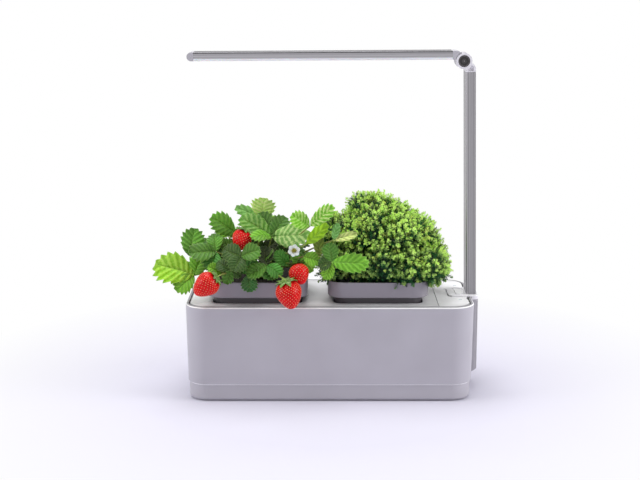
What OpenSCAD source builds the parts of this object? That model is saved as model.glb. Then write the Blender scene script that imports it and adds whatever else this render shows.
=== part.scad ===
// Countertop hydroponic garden: a two-pot water tank with a fold-down grow lamp.
// Millimetres. X to the right, Y to the back, Z up; the origin is under the tank's middle, on the table.

/* [Tank] */
// Width of the tank across its rim
tank_w = 350; // [330:5:400]
// Depth of the tank across its rim
tank_d = 150; // [142:2:180]
// Height of the rim above the table
tank_h = 118; // [112:1:140]
// Radius of the tank's upright corners
corner_r = 27; // [22:1:32]
// Thickness of the outer shell
shell_wall = 2.5; // [2:0.1:3]
// How far the shell narrows on each side down to its foot
draft = 1.6; // [0:0.1:2.4]
// Width of the rim, seen from above
rim_w = 3.6; // [3.2:0.1:4.6]
// Radius of the rim's outer edge
rim_r = 2; // [1:0.1:2.5]
// Depth of the inner ledge below the rim
ledge_drop = 11.5; // [10:0.5:14]

/* [Base] */
// Height of the base tray, up to the shell's foot
base_h = 22; // [18:1:28]
// How far the base steps in from the shell's foot
base_inset = 1.8; // [1:0.1:2.4]
// Wall and floor of the base tray
base_wall = 2.5; // [2:0.1:3]
// Radius of the base tray's lower edge
base_edge_r = 3.5; // [2:0.1:5]
// Height of the non-slip ring
ring_h = 2.2; // [1.8:0.1:3]
// Width of the non-slip ring
ring_w = 8; // [5:0.5:12]
// Depth of the ring's groove in the base
groove_h = 1; // [0.6:0.1:1.4]
// Thread radius of the base screws
screw_r = 1.5; // [1.2:0.1:1.8]
// Head radius of the base screws
screw_head_r = 2.9; // [2.5:0.1:3.4]

/* [Reservoir] */
// Wall and floor of the water tank
tub_wall = 2.2; // [1.6:0.1:3]
// Height of the water tank's underside above the table
tub_z = 34; // [32:1:38]
// Thickness of the water tank's flange
tub_flange = 2.5; // [2:0.1:3]

/* [Lid] */
// Thickness of the lid's top
lid_t = 2.8; // [2.6:0.1:3.4]
// How far the lid stands above the rim
lid_proud = 0.5; // [0:0.1:1]
// Gap between the lid and the rim
lid_gap = 1; // [0.6:0.1:1.4]
// Radius of the lid's outer edge
lid_edge_r = 2.4; // [1:0.1:2.5]
// Depth of the pots' shelf below the rim
shelf_drop = 11.3; // [10:0.1:13]
// Width of the control panel, from the tank's side to the seam
panel_w = 44.2; // [42:0.2:47]
// Width of that seam
seam_gap = 0.8; // [0.6:0.1:1.2]

/* [Pots] */
// Width of a pot's collar
pot_w = 122; // [116:1:123]
// Depth of a pot's collar
pot_d = 124; // [112:1:125]
// Radius of the collar's upright corners
pot_r = 20; // [16:1:24]
// Height of the collar
collar_h = 19; // [14:1:24]
// Gap between the lid and the collar
collar_lift = 8; // [6:0.5:12]
// How far the neck stands in from the collar
neck_in = 7.5; // [6:0.5:9]
// How far the basket stands in from the neck
basket_in = 7; // [6:0.5:9]
// Wall of a pot
pot_wall = 2.2; // [1.8:0.1:2.6]
// Height of the basket's underside above the table
basket_z = 52; // [48:1:60]
// Depth of the growing sponge's top below the collar's edge
sponge_drop = 7; // [5:1:10]
// Distance from the tank's side to the left pot's collar
pot_side = 26; // [22:1:28]
// Distance from the right pot's collar to the panel's seam
pot_seam = 11; // [10:0.2:14]
// Gap between a pot's neck and the lid's opening
neck_gap = 1; // [0.6:0.1:1.5]

/* [Control panel] */
// Depth of the pocket that takes the lamp's tongue
pocket_h = 3.2; // [2.8:0.1:3.6]
// Distance of each indicator from the tongue's centre line
indicator_y = 36.5; // [30:0.5:42]
// Length of an indicator lens
indicator_l = 4.4; // [3:0.1:6]
// Width of an indicator lens
indicator_w = 1.5; // [1:0.1:2.5]
// Width of the box under the panel
box_w = 26; // [24:1:27]
// Depth of the box under the panel
box_d = 96; // [88:1:100]
// Height of the box under the panel
box_h = 13; // [12:1:16]

/* [Pump and float] */
// Width of the pump
pump_w = 34; // [32:1:36]
// Depth of the pump
pump_d = 42; // [40:1:46]
// Height of the pump
pump_h = 30; // [28:1:34]
// Radius of the pump's rotor
rotor_r = 11; // [9:0.5:12]
// Outer radius of the hose
hose_r = 5; // [4:0.5:6]
// Radius of the float
float_r = 9; // [7:0.5:10]
// Height of the float
float_h = 14; // [10:1:18]
// Travel of the float
float_rise = 28; // [20:1:30]

/* [Lamp bracket] */
// Depth of the bracket, front to back
bracket_d = 44; // [40:1:48]
// How far the tongue reaches in over the panel
tongue_reach = 23.8; // [22:0.2:26]
// Height of the bracket's top above the rim
bracket_rise = 2.2; // [2:0.1:3]
// Thickness of the plate over the rim
bracket_t = 1.8; // [1.5:0.1:1.8]
// Thickness of the outside leg
leg_t = 8.3; // [7:0.1:10]
// Height of the leg's lower end above the table
leg_z = 22; // [18:1:40]
// Bevel of the leg's lower end
leg_bevel = 4; // [2:0.5:6]
// Radius of the bracket's upright corners
bracket_r = 6; // [4:0.5:7]
// Wall of the bracket
bracket_wall = 1.6; // [1.2:0.1:2]
// Width of the button
button_w = 9; // [7:0.1:9.4]
// Length of the button
button_l = 28; // [20:1:30]
// Travel of the button
button_travel = 0.6; // [0.4:0.1:0.6]

/* [Pole] */
// Width of the pole's section
pole_w = 12; // [10:0.5:14]
// Depth of the pole's section
pole_d = 30; // [24:1:34]
// Wall of the pole
pole_wall = 1.4; // [1.2:0.1:1.8]
// Length of the pole
pole_l = 274; // [220:1:320]
// Lean of the pole towards the plants, in degrees
pole_lean = 1.3; // [0:0.01:2]

/* [Hinge] */
// Radius of the hinge barrel
barrel_r = 9.7; // [8.5:0.1:10.5]
// Radius of the barrel's end caps
cap_r = 7.1; // [6:0.1:7.6]
// Radius of the hinge pin
pin_r = 3; // [2.5:0.1:3.5]
// Sideways distance from the pole's centre line to the hinge
hinge_in = 7.9; // [7:0.1:9]
// Height of the hinge above the pole's top
hinge_up = 12.9; // [12:0.1:16]
// Width of the bar's knuckle
knuckle_w = 16.6; // [14:0.2:18]

/* [Lamp bar] */
// Width of the bar's section
bar_w = 30; // [26:1:34]
// Height of the bar's section, with its diffuser
bar_h = 10.5; // [10:0.1:13]
// Length of the bar from its end fitting to its tip
bar_l = 318.5; // [260:0.5:330]
// Wall of the bar
bar_wall = 1.3; // [1:0.1:1.6]
// Height of the bar's underside above the hinge
bar_up = 1.8; // [1:0.1:3]
// Droop of the bar towards its tip, in degrees
bar_droop = 0.35; // [0:0.01:1]
// Height of the diffuser's edge
diffuser_h = 2.8; // [2:0.1:3]
// Number of light diodes along the bar
led_count = 24; // [12:1:36]

/* [Plants] */
// Thickness of a leaf
leaf_t = 1.2; // [1:0.1:2]
// Radius of a leaf stalk
stalk_r = 1.1; // [0.8:0.1:1.6]
// Radius of the crown that the stalks grow from
crown_r = 11; // [9:0.5:12]
// Height of the crown's middle above the sponge
crown_h = 5; // [4:0.5:8]

/* [Hidden] */
$fn = 64;

// Clearances
fit = 0.3;
touch = 0.05;
running = 0.06;
over = 1;
bond = 0.5;

// Tank heights and insets
half_w = tank_w / 2;
half_d = tank_d / 2;
base_in = draft + base_inset;
floor_z = ring_h - groove_h;
ledge_z = tank_h - ledge_drop;
ledge_t = 3;
ledge_w = 3;
seat_z = ledge_z + tub_flange;
tub_in = rim_w + ledge_w + 2 * fit;
tub_floor = tub_z + tub_wall;
boss_in = 15;
boss_side = 31;
rib_t = 3;
boss_r = 4;
post_r = 5;
counterbore_r = screw_head_r + 0.5;
screw_seat_z = base_h - 6;
screw_l = 14;
head_h = 2.5;
lip_h = 5;
lip_t = 2;

// Lid and panel
lid_top = tank_h + lid_proud;
lid_under = lid_top - lid_t;
lid_in = rim_w + lid_gap;
lid_w = tank_w - 2 * lid_in;
lid_d = tank_d - 2 * lid_in;
lid_r = corner_r - lid_in;
lid_seat = seat_z + fit;
skirt_t = 2.2;
seam_x = half_w - panel_w;
lid_edge_x = seam_x - seam_gap / 2;
panel_edge_x = seam_x + seam_gap / 2;
panel_right = half_w - lid_in;

// Pots
left_pot_x = pot_side + pot_w / 2 - half_w;
right_pot_x = seam_x - pot_seam - pot_w / 2;
collar_z = lid_top + collar_lift;
collar_top = collar_z + collar_h;
neck_w = pot_w - 2 * neck_in;
neck_d = pot_d - 2 * neck_in;
neck_r = pot_r;
open_w = neck_w + 2 * neck_gap;
open_d = neck_d + 2 * neck_gap;
open_r = 10;
shelf_w = 4;
shelf_t = 2;
shelf_z = tank_h - shelf_drop;
well_t = 2;
shoulder_z = shelf_z + fit;
basket_w = neck_w - 2 * basket_in;
basket_d = neck_d - 2 * basket_in;
basket_r = 14;
sponge_top = collar_top - sponge_drop;

// Lamp bracket
bracket_top = tank_h + bracket_rise;
bracket_under = bracket_top - bracket_t;
leg_in = half_w + 0.5;
leg_out = leg_in + leg_t;
tongue_x = panel_right - tongue_reach;
tongue_z = lid_top - pocket_h + 0.5;
tongue_right = panel_right - 0.4;
pocket_floor = lid_top - pocket_h;
floor_plate = 2.8;
pocket_gap = 0.6;
button_x = tongue_x + 14.2;
button_hole = 0.2;
button_flange = 0.9;
flange_t = 0.6;
dish_w = 14;
dish_l = 36;
dish_h = 0.6;
board_t = 0.5;
cover_t = 0.8;
inner_d = bracket_d - 2 * bracket_wall;
cover_leg_t = 1.4;
pocket_top = bracket_under - 6;

// Lamp frames
foot_x = leg_out - 2.7 - pole_w / 2;
foot_z = bracket_top;
foot_gap = 0.16;
tenon_h = 18;
hinge_z = pole_l + hinge_up;
arm_r = 8;
arm_x = pole_w / 2 - arm_r;
arm_z = 3.2;
bar_z = bar_up;
fitting_x = -13.8;
fitting_gap = 0.7;
fork_gap = 0.4;
fork_in = knuckle_w / 2 + fork_gap;
cap_h = 1.6;
cap_sink = 1;
cap_l = 7.8;
plug_h = 3.4;
board_w = 22;
led_pitch_end = 14;

// Pump, float and inlet
pump_x = half_w - tub_in - tub_wall - 5.6 - pump_w / 2;
pump_y = 33;
pump_top = tub_floor + pump_h;
float_x = pump_x + 5;
float_y = -30;
box_x = panel_right - 5.8 - box_w / 2;
box_top = pocket_floor - floor_plate - 0.2;
box_z = box_top - box_h;
stem_r = 2.5;
shaft_r = 1.2;
bend_r = 8;
spout_gap = 1.6;
spout_lip = 2;
hose_l = box_z - spout_gap - pump_top - spout_lip - bend_r - hose_r + 0.5;
barb_l = hose_l / 2 - 0.5;
stop_h = 2;
inlet_in = 55;
inlet_x = half_w - inlet_in;
inlet_z = 12.5;
inlet_r = 5.5;
jack_r = 2.8;
jack_pin_r = 1;

// Plants
crown = [left_pot_x, 0, sponge_top];

// ---------- 2-D helpers ----------

// A rectangle with round corners, centred
module round_rect(w, d, r) {
    square([w - 2 * r, d], center = true);
    square([w, d - 2 * r], center = true);
    for (sx = [-1, 1], sy = [-1, 1])
        translate([sx * (w / 2 - r), sy * (d / 2 - r)])
            circle(r);
}

// What rounding takes off a corner that lies at the origin, with the solid right of it and below it
module corner_cut(r) {
    difference() {
        translate([-over, -r]) square([r + over, r + over]);
        translate([r, -r]) circle(r);
    }
}

// ---------- 3-D helpers ----------

// Sweeps a wall's section around a rounded rectangle; the section's x is the inset, its y the height
module swept_wall(w, d, r) {
    for (sx = [0, 1], sy = [0, 1])
        mirror([sx, 0, 0]) mirror([0, sy, 0])
            translate([w / 2 - r, d / 2 - r, 0])
                rotate_extrude(angle = 90)
                    translate([r, 0]) mirror([1, 0]) children();
    for (side = [0, 1])
        mirror([side, 0, 0])
            translate([w / 2, d / 2 - r, 0])
                rotate([90, 0, 0])
                    linear_extrude(d - 2 * r) mirror([1, 0]) children();
    for (side = [0, 1])
        mirror([0, side, 0])
            translate([r - w / 2, d / 2, 0])
                rotate([90, 0, 90])
                    linear_extrude(w - 2 * r) mirror([1, 0]) children();
}

// A flat plate with round corners
module plate(w, d, r, z, h) {
    translate([0, 0, z]) linear_extrude(h) round_rect(w, d, r);
}

// A plate whose top edge is rounded all the way round
module soft_plate(w, d, r, z, h, edge) {
    swept_wall(w, d, r)
        difference() {
            translate([0, z]) square([edge + over, h]);
            translate([0, z + h]) corner_cut(edge);
        }
    plate(w - 2 * edge, d - 2 * edge, r - edge, z, h);
}

// A round stalk between two points
module stalk(from, to, r) {
    run = to - from;
    length = norm(run);
    translate(from)
        rotate([0, acos(run[2] / length), atan2(run[1], run[0])])
            cylinder(h = length, r = r, $fn = 16);
}

// The four corner places of a rectangle
module at_corners(x, y) {
    for (sx = [-1, 1], sy = [-1, 1])
        translate([sx * x, sy * y, 0]) children();
}

// A pan-head screw that points up, its head's bearing face at the origin
module screw(r, head_r, head_h, length) {
    translate([0, 0, -head_h]) cylinder(h = head_h, r = head_r);
    translate([0, 0, -bond]) cylinder(h = length + bond, r = r);
}

// ---------- Tank ----------

module base_tray() {
    color([0.72, 0.71, 0.74])
    difference() {
        union() {
            swept_wall(tank_w, tank_d, corner_r) {
                difference() {
                    translate([base_in, floor_z]) square([base_wall, base_h - floor_z]);
                    translate([base_in, floor_z]) mirror([0, 1]) corner_cut(base_edge_r);
                }
            }
            swept_wall(tank_w, tank_d, corner_r)
                translate([draft + shell_wall + fit, base_h - lip_h])
                    square([lip_t, 2 * lip_h]);
            base_floor();
            at_corners(half_w - boss_side, half_d - boss_in)
                translate([0, 0, floor_z]) cylinder(h = base_h - floor_z, r = post_r);
        }
        at_corners(half_w - boss_side, half_d - boss_in) {
            translate([0, 0, floor_z - over])
                cylinder(h = screw_seat_z - floor_z + over, r = counterbore_r);
            cylinder(h = base_h + over, r = screw_r + 0.3);
        }
        ring_outline(0, groove_h + floor_z);
        boss_ribs(rib_t + 2, boss_in, base_h, base_h + lip_h + over);
        translate([inlet_x, half_d, inlet_z]) rotate([90, 0, 0])
            cylinder(h = 12, r = inlet_r + touch);
    }
}

// The base's floor, whose edge stays inside the rounded lower edge
module base_floor() {
    inset = base_in + base_wall - 0.5;
    plate(tank_w - 2 * inset, tank_d - 2 * inset, corner_r - inset, floor_z, base_wall);
    swept_wall(tank_w, tank_d, corner_r)
        difference() {
            translate([base_in, floor_z]) square([base_edge_r + base_wall, base_wall]);
            translate([base_in, floor_z]) mirror([0, 1]) corner_cut(base_edge_r);
        }
}

// The band that the non-slip ring fills, from z0 up to z1
module ring_outline(z0, z1) {
    ring_in = boss_in + post_r + 5;
    difference() {
        plate(tank_w - 2 * ring_in, tank_d - 2 * ring_in, 12, z0, z1 - z0);
        plate(tank_w - 2 * (ring_in + ring_w), tank_d - 2 * (ring_in + ring_w), 6,
            z0 - over, z1 - z0 + 2 * over);
    }
}

module non_slip_ring() {
    color([0.2, 0.2, 0.21]) ring_outline(0, ring_h);
}

module base_screws() {
    color([0.75, 0.75, 0.77])
    at_corners(half_w - boss_side, half_d - boss_in)
        translate([0, 0, screw_seat_z]) screw(screw_r, screw_head_r, head_h, screw_l);
}

module body_shell() {
    color([0.7, 0.69, 0.72])
    difference() {
        union() {
            swept_wall(tank_w, tank_d, corner_r)
                difference() {
                    polygon([
                        [draft, base_h], [0, tank_h], [rim_w, tank_h], [rim_w, ledge_z],
                        [rim_w + ledge_w, ledge_z], [rim_w + ledge_w, ledge_z - ledge_t],
                        [shell_wall, ledge_z - 2 * ledge_t], [draft + shell_wall, base_h]]);
                    translate([0, tank_h]) corner_cut(rim_r);
                }
            at_corners(half_w - boss_side, half_d - boss_in)
                translate([0, 0, base_h]) cylinder(h = tub_z - base_h - 1, r = boss_r);
            boss_ribs(rib_t, boss_in - draft - shell_wall / 2, base_h, tub_z - 1);
        }
        at_corners(half_w - boss_side, half_d - boss_in)
            translate([0, 0, base_h - over]) cylinder(h = tub_z, r = screw_r + touch);
    }
}

// Ribs from the screw bosses out to the front and back walls, between two heights
module boss_ribs(w, reach, z0, z1) {
    for (side = [0, 1], sx = [-1, 1])
        mirror([0, side, 0])
            translate([sx * (half_w - boss_side) - w / 2, half_d - boss_in, z0])
                cube([w, reach, z1 - z0]);
}

module water_tank() {
    color([0.35, 0.36, 0.38]) {
        swept_wall(tank_w, tank_d, corner_r)
            polygon([
                [rim_w + fit, ledge_z], [rim_w + fit, seat_z], [tub_in + tub_wall, seat_z],
                [tub_in + tub_wall, tub_z], [tub_in, tub_z], [tub_in, ledge_z]]);
        plate(tank_w - 2 * tub_in - 2, tank_d - 2 * tub_in - 2, corner_r - tub_in - 1, tub_z, tub_wall);
    }
}

module power_inlet() {
    face_y = half_d - base_in;
    color([0.12, 0.12, 0.13])
    difference() {
        union() {
            translate([inlet_x, face_y + 0.4, inlet_z]) rotate([90, 0, 0]) cylinder(h = 10.4, r = inlet_r);
            translate([inlet_x - 4.5, face_y - 24, inlet_z - 5.5]) cube([9, 14.5, 11]);
        }
        translate([inlet_x, face_y + over, inlet_z]) rotate([90, 0, 0]) cylinder(h = 11 + over, r = jack_r);
    }
    color([0.8, 0.8, 0.8])
        translate([inlet_x, face_y - 1, inlet_z]) rotate([90, 0, 0]) cylinder(h = 11, r = jack_pin_r);
}

module power_board() {
    board_y = half_d - base_in - 46;
    color([0.1, 0.35, 0.2])
    translate([inlet_x - 14, board_y, inlet_z - 7.1]) cube([28, 36, 1.6]);
    color([0.6, 0.6, 0.62])
    for (sx = [-11, 11])
        translate([inlet_x + sx, board_y + 6, floor_z + base_wall])
            cylinder(h = inlet_z - 7.1 - floor_z - base_wall + bond, r = 2.2);
}

// ---------- Pump, hose and float ----------

module pump_body() {
    rotor_z = tub_floor + pump_h / 2;
    color([0.15, 0.16, 0.18])
    difference() {
        union() {
            translate([pump_x, pump_y, 0]) plate(pump_w, pump_d, 4, tub_floor, pump_h);
            translate([pump_x + 6, pump_y, pump_top - 1]) cylinder(h = barb_l + 1, r = hose_r - 2.2);
        }
        translate([pump_x, pump_y - pump_d / 2 - over, rotor_z]) rotate([-90, 0, 0])
            difference() {
                union() {
                    cylinder(h = over + 7, r = rotor_r + 1.5);
                    cylinder(h = over + 27, r = 7.8);
                }
                translate([0, 0, over + 0.4]) cylinder(h = 30, r = shaft_r);
            }
        translate([pump_x + 6, pump_y, pump_top - 6]) cylinder(h = 16, r = 1.8);
    }
}

module pump_cover() {
    cover_y = pump_y - pump_d / 2;
    rotor_z = tub_floor + pump_h / 2;
    color([0.22, 0.23, 0.25])
    difference() {
        translate([pump_x - pump_w / 2 + 2, cover_y - 3, tub_floor + 2]) cube([pump_w - 4, 3, pump_h - 4]);
        for (i = [-3:3])
            translate([pump_x + i * 3.6 - 0.9, cover_y - 3 - over, rotor_z - 9])
                cube([1.8, 3 + 2 * over, 18]);
    }
}

module pump_rotor() {
    rotor_z = tub_floor + pump_h / 2;
    front_y = pump_y - pump_d / 2 + 0.8;
    color([0.9, 0.9, 0.88])
    translate([pump_x, front_y, rotor_z]) rotate([-90, 0, 0]) {
        difference() {
            cylinder(h = 1.4, r = rotor_r);
            translate([0, 0, -over]) cylinder(h = 1.4 + 2 * over, r = shaft_r + running);
        }
        for (i = [0:5])
            rotate([0, 0, i * 60]) translate([shaft_r + 1, -0.8, 0])
                cube([rotor_r - shaft_r - 1.4, 1.6, 5.6]);
        difference() {
            cylinder(h = 26, r = 7);
            translate([0, 0, -over]) cylinder(h = 26 + 2 * over, r = shaft_r + running);
        }
    }
}

module pump_hose() {
    color([0.3, 0.3, 0.32])
    translate([pump_x + 6, pump_y, pump_top])
        difference() {
            cylinder(h = hose_l, r = hose_r);
            translate([0, 0, -over]) cylinder(h = hose_l + 2 * over, r = hose_r - 2.15);
        }
}

// The elbow that sends the water back towards the pots
module hose_spout() {
    bend_z = barb_l + spout_lip;
    color([0.22, 0.23, 0.25])
    translate([pump_x + 6, pump_y, pump_top + hose_l - barb_l])
        difference() {
            union() {
                cylinder(h = barb_l + 1, r = hose_r - 2.2);
                translate([0, 0, barb_l]) cylinder(h = spout_lip + bond, r = hose_r);
                translate([-bend_r, 0, bend_z]) rotate([90, 0, 0]) rotate_extrude(angle = 90)
                    translate([bend_r, 0]) circle(hose_r - 0.5);
            }
            translate([0, 0, -over]) cylinder(h = bend_z + 2 * over, r = 1.6);
            translate([-bend_r, 0, bend_z]) rotate([90, 0, 0]) rotate_extrude(angle = 90)
                translate([bend_r, 0]) circle(hose_r - 2);
        }
}

module float_stem() {
    foot_z = stem_bottom();
    color([0.88, 0.88, 0.86])
    translate([float_x, float_y, 0]) {
        translate([0, 0, foot_z]) cylinder(h = box_z - foot_z, r = stem_r);
        translate([0, 0, foot_z]) cylinder(h = stop_h, r = stem_r + 2);
        translate([0, 0, box_z - 2]) cylinder(h = 2, r = stem_r + 3);
    }
}

function stem_bottom() = box_z - 2 - fit - float_rise - float_h - fit - stop_h;

module water_float() {
    color([0.95, 0.6, 0.2])
    translate([float_x, float_y, stem_bottom() + stop_h + fit])
        difference() {
            cylinder(h = float_h, r = float_r);
            translate([0, 0, -over]) cylinder(h = float_h + 2 * over, r = stem_r + 0.5);
        }
}

// ---------- Lid and control panel ----------

// The outline that lid and panel share: a soft-edged plate with a skirt
module cover_blank(skirt_z) {
    soft_plate(lid_w, lid_d, lid_r, lid_under, lid_t, lid_edge_r);
    swept_wall(lid_w, lid_d, lid_r)
        translate([0, skirt_z]) square([skirt_t, lid_under + lid_t - lid_edge_r - skirt_z]);
}

module plant_lid() {
    color([0.8, 0.79, 0.82])
    difference() {
        union() {
            intersection() {
                cover_blank(lid_seat);
                translate([-half_w, -half_d, 0]) cube([half_w + lid_edge_x, tank_d, tank_h + 20]);
            }
            translate([lid_edge_x - skirt_t, skirt_t - bond - lid_d / 2, lid_seat])
                cube([skirt_t, lid_d - 2 * skirt_t + 2 * bond, lid_under - lid_seat + bond]);
            for (x = [left_pot_x, right_pot_x])
                translate([x, 0, 0]) {
                    outer_w = open_w + 2 * well_t;
                    outer_d = open_d + 2 * well_t;
                    plate(outer_w, outer_d, open_r + well_t, shelf_z - shelf_t, lid_top - shelf_z);
                }
        }
        for (x = [left_pot_x, right_pot_x])
            translate([x, 0, 0]) {
                plate(open_w, open_d, open_r, shelf_z, lid_top);
                plate(open_w - 2 * shelf_w, open_d - 2 * shelf_w, open_r, shelf_z - 2 * shelf_t, lid_top);
            }
    }
}

// The plan of the pocket or of the tongue in it, grown by a gap
module tongue_plan(gap, right) {
    w = right - tongue_x + gap + bracket_r;
    intersection() {
        translate([tongue_x - gap + w / 2, 0]) round_rect(w, bracket_d + 2 * gap, bracket_r + gap);
        translate([tongue_x - gap, -bracket_d]) square([right - tongue_x + gap, 2 * bracket_d]);
    }
}

module indicator_places() {
    for (side = [-1, 1])
        translate([button_x - 1, side * indicator_y, 0]) children();
}

module lens_plan(gap) {
    round_rect(indicator_l + 2 * gap, indicator_w + 2 * gap, indicator_w / 2 + gap - 0.01);
}

module control_panel() {
    notch_w = 2.4;
    notch_l = 9;
    color([0.93, 0.92, 0.94])
    difference() {
        union() {
            intersection() {
                cover_blank(seat_z);
                translate([panel_edge_x, -half_d, 0]) cube([half_w, tank_d, tank_h + 20]);
            }
            translate([panel_edge_x, skirt_t - bond - lid_d / 2, seat_z])
                cube([skirt_t, lid_d - 2 * skirt_t + 2 * bond, lid_under - seat_z + bond]);
            box_lugs(pocket_floor - floor_plate, lid_under + bond);
        }
        translate([0, 0, pocket_floor])
            linear_extrude(pocket_h + over) tongue_plan(pocket_gap, panel_right + over);
        indicator_places()
            translate([0, 0, lid_under - over]) linear_extrude(lid_t + 2 * over) lens_plan(touch);
        translate([panel_right - notch_w, -bracket_d / 2 - 4 - notch_l, lid_under - over])
            cube([notch_w + over, notch_l, lid_t + 2 * over]);
        at_box_screws() translate([0, 0, box_top - over]) cylinder(h = 5.5, r = 1.05);
    }
}

// The tray under the panel's opening: the floor of the pocket that takes the lamp's tongue
module lamp_socket() {
    color([0.9, 0.89, 0.91])
    difference() {
        translate([0, 0, pocket_floor - floor_plate])
            linear_extrude(lid_under - pocket_floor + floor_plate)
                tongue_plan(2, panel_right - skirt_t - 0.1);
        translate([0, 0, pocket_floor]) linear_extrude(pocket_h) tongue_plan(pocket_gap, panel_right + over);
    }
}

module at_box_screws() {
    for (sx = [-1, 1], sy = [-1, 1])
        translate([box_x + sx * (box_w / 2 - 4), sy * (box_d / 2 - 4), 0]) children();
}

// Screw bosses for the box, between two heights
module box_lugs(z0, z1) {
    at_box_screws() translate([0, 0, z0]) cylinder(h = z1 - z0, r = 3);
}

module control_box() {
    wall = 1.6;
    color([0.85, 0.85, 0.86])
    difference() {
        union() {
            difference() {
                translate([box_x, 0, 0]) plate(box_w, box_d, 4, box_z, box_h);
                translate([box_x, 0, 0]) plate(box_w - 2 * wall, box_d - 2 * wall, 3, box_z + wall, box_h);
            }
            at_box_screws() translate([0, 0, box_z]) cylinder(h = box_h, r = 3);
        }
        at_box_screws() {
            translate([0, 0, box_z - over]) cylinder(h = box_h + 2 * over, r = 1.3);
            translate([0, 0, box_z - over]) cylinder(h = over + 3, r = 2.3);
        }
    }
}

module box_screws() {
    color([0.75, 0.75, 0.77])
    at_box_screws() translate([0, 0, box_z + 3]) screw(1, 2, 1.6, box_h + 1.4);
}

module control_board() {
    color([0.1, 0.35, 0.2])
    translate([box_x, 0, 0]) plate(box_w - 4, box_d - 18, 1, box_z + 4, 1.6);
    color([0.8, 0.8, 0.8])
    for (y = [-28, 28])
        translate([box_x, y, box_z + 1.6]) cylinder(h = 2.4 + bond, r = 2.5);
}

module board_parts() {
    top = box_z + 5.6;
    color([0.1, 0.1, 0.1]) {
        translate([box_x - 5, -6, top]) cube([10, 10, 1.6]);
        translate([box_x - 8, 14, top]) cube([6, 12, 5]);
        translate([box_x + 1, 18, top]) cylinder(h = 5, r = 3);
        translate([box_x - 7, -26, top]) cube([12, 8, 3]);
    }
    color([1, 1, 0.8])
    indicator_places() translate([-1.2, -1, top]) cube([2.4, 2, 1.4]);
}

// Light pipes from the board's diodes up to the panel's face
module indicator_lenses() {
    low = box_z + 7.3;
    color([0.75, 0.85, 0.95])
    indicator_places() translate([0, 0, low]) linear_extrude(lid_top + 0.15 - low) lens_plan(0);
}

module contact_pads() {
    color([0.85, 0.7, 0.35])
    for (y = [-12, 12])
        translate([tongue_x + 8, y, 0]) plate(4, 5, 1, pocket_floor, 0.25);
}

// ---------- Pots ----------

module pot(x) {
    translate([x, 0, 0])
    difference() {
        union() {
            swept_wall(pot_w, pot_d, pot_r)
                difference() {
                    translate([0, collar_z]) square([pot_wall, collar_h]);
                    translate([0, collar_z]) mirror([0, 1]) corner_cut(1.4);
                    translate([0, collar_top]) corner_cut(0.6);
                }
            difference() {
                plate(pot_w - 2.8, pot_d - 2.8, pot_r - 1.4, collar_z, pot_wall);
                plate(neck_w - 2 * pot_wall, neck_d - 2 * pot_wall, neck_r - pot_wall,
                    collar_z - over, 2 * pot_wall);
            }
            difference() {
                plate(neck_w, neck_d, neck_r, shoulder_z, collar_z + pot_wall - shoulder_z);
                plate(neck_w - 2 * pot_wall, neck_d - 2 * pot_wall, neck_r - pot_wall,
                    shoulder_z + pot_wall, collar_z);
                plate(basket_w - 2 * pot_wall, basket_d - 2 * pot_wall, basket_r - pot_wall,
                    shoulder_z - over, collar_h);
            }
            difference() {
                plate(basket_w, basket_d, basket_r, basket_z, shoulder_z - basket_z + pot_wall);
                plate(basket_w - 2 * pot_wall, basket_d - 2 * pot_wall, basket_r - pot_wall,
                    basket_z + pot_wall, shoulder_z);
            }
        }
        basket_slots();
    }
}

// Water slots in the basket's four walls and its floor
module basket_slots() {
    slot_w = 4;
    slot_h = 34;
    pitch = 13;
    for (i = [-2:2]) {
        translate([i * pitch - slot_w / 2, -basket_d, basket_z + 8]) cube([slot_w, 2 * basket_d, slot_h]);
        translate([-basket_w, i * pitch - slot_w / 2, basket_z + 8]) cube([2 * basket_w, slot_w, slot_h]);
        translate([i * pitch - slot_w / 2, -25, basket_z - over]) cube([slot_w, 50, pot_wall + 2 * over]);
    }
}

// The growing sponge: one block in the basket, a wider one in the neck and collar
module sponge(x) {
    gap = fit + pot_wall;
    translate([x, 0, 0]) {
        plate(basket_w - 2 * gap, basket_d - 2 * gap, basket_r - gap, basket_z + pot_wall,
            shoulder_z - basket_z + bond);
        plate(neck_w - 2 * gap, neck_d - 2 * gap, neck_r - gap, shoulder_z + pot_wall,
            collar_z - shoulder_z + bond);
        plate(pot_w - 2 * gap, pot_d - 2 * gap, pot_r - gap, collar_z + pot_wall,
            sponge_top - collar_z - pot_wall);
    }
}

module left_pot() { color([0.55, 0.54, 0.57]) pot(left_pot_x); }
module right_pot() { color([0.55, 0.54, 0.57]) pot(right_pot_x); }
module left_sponge() { color([0.2, 0.15, 0.1]) sponge(left_pot_x); }
module right_sponge() { color([0.2, 0.15, 0.1]) sponge(right_pot_x); }

// ---------- Strawberry plant ----------

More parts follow.
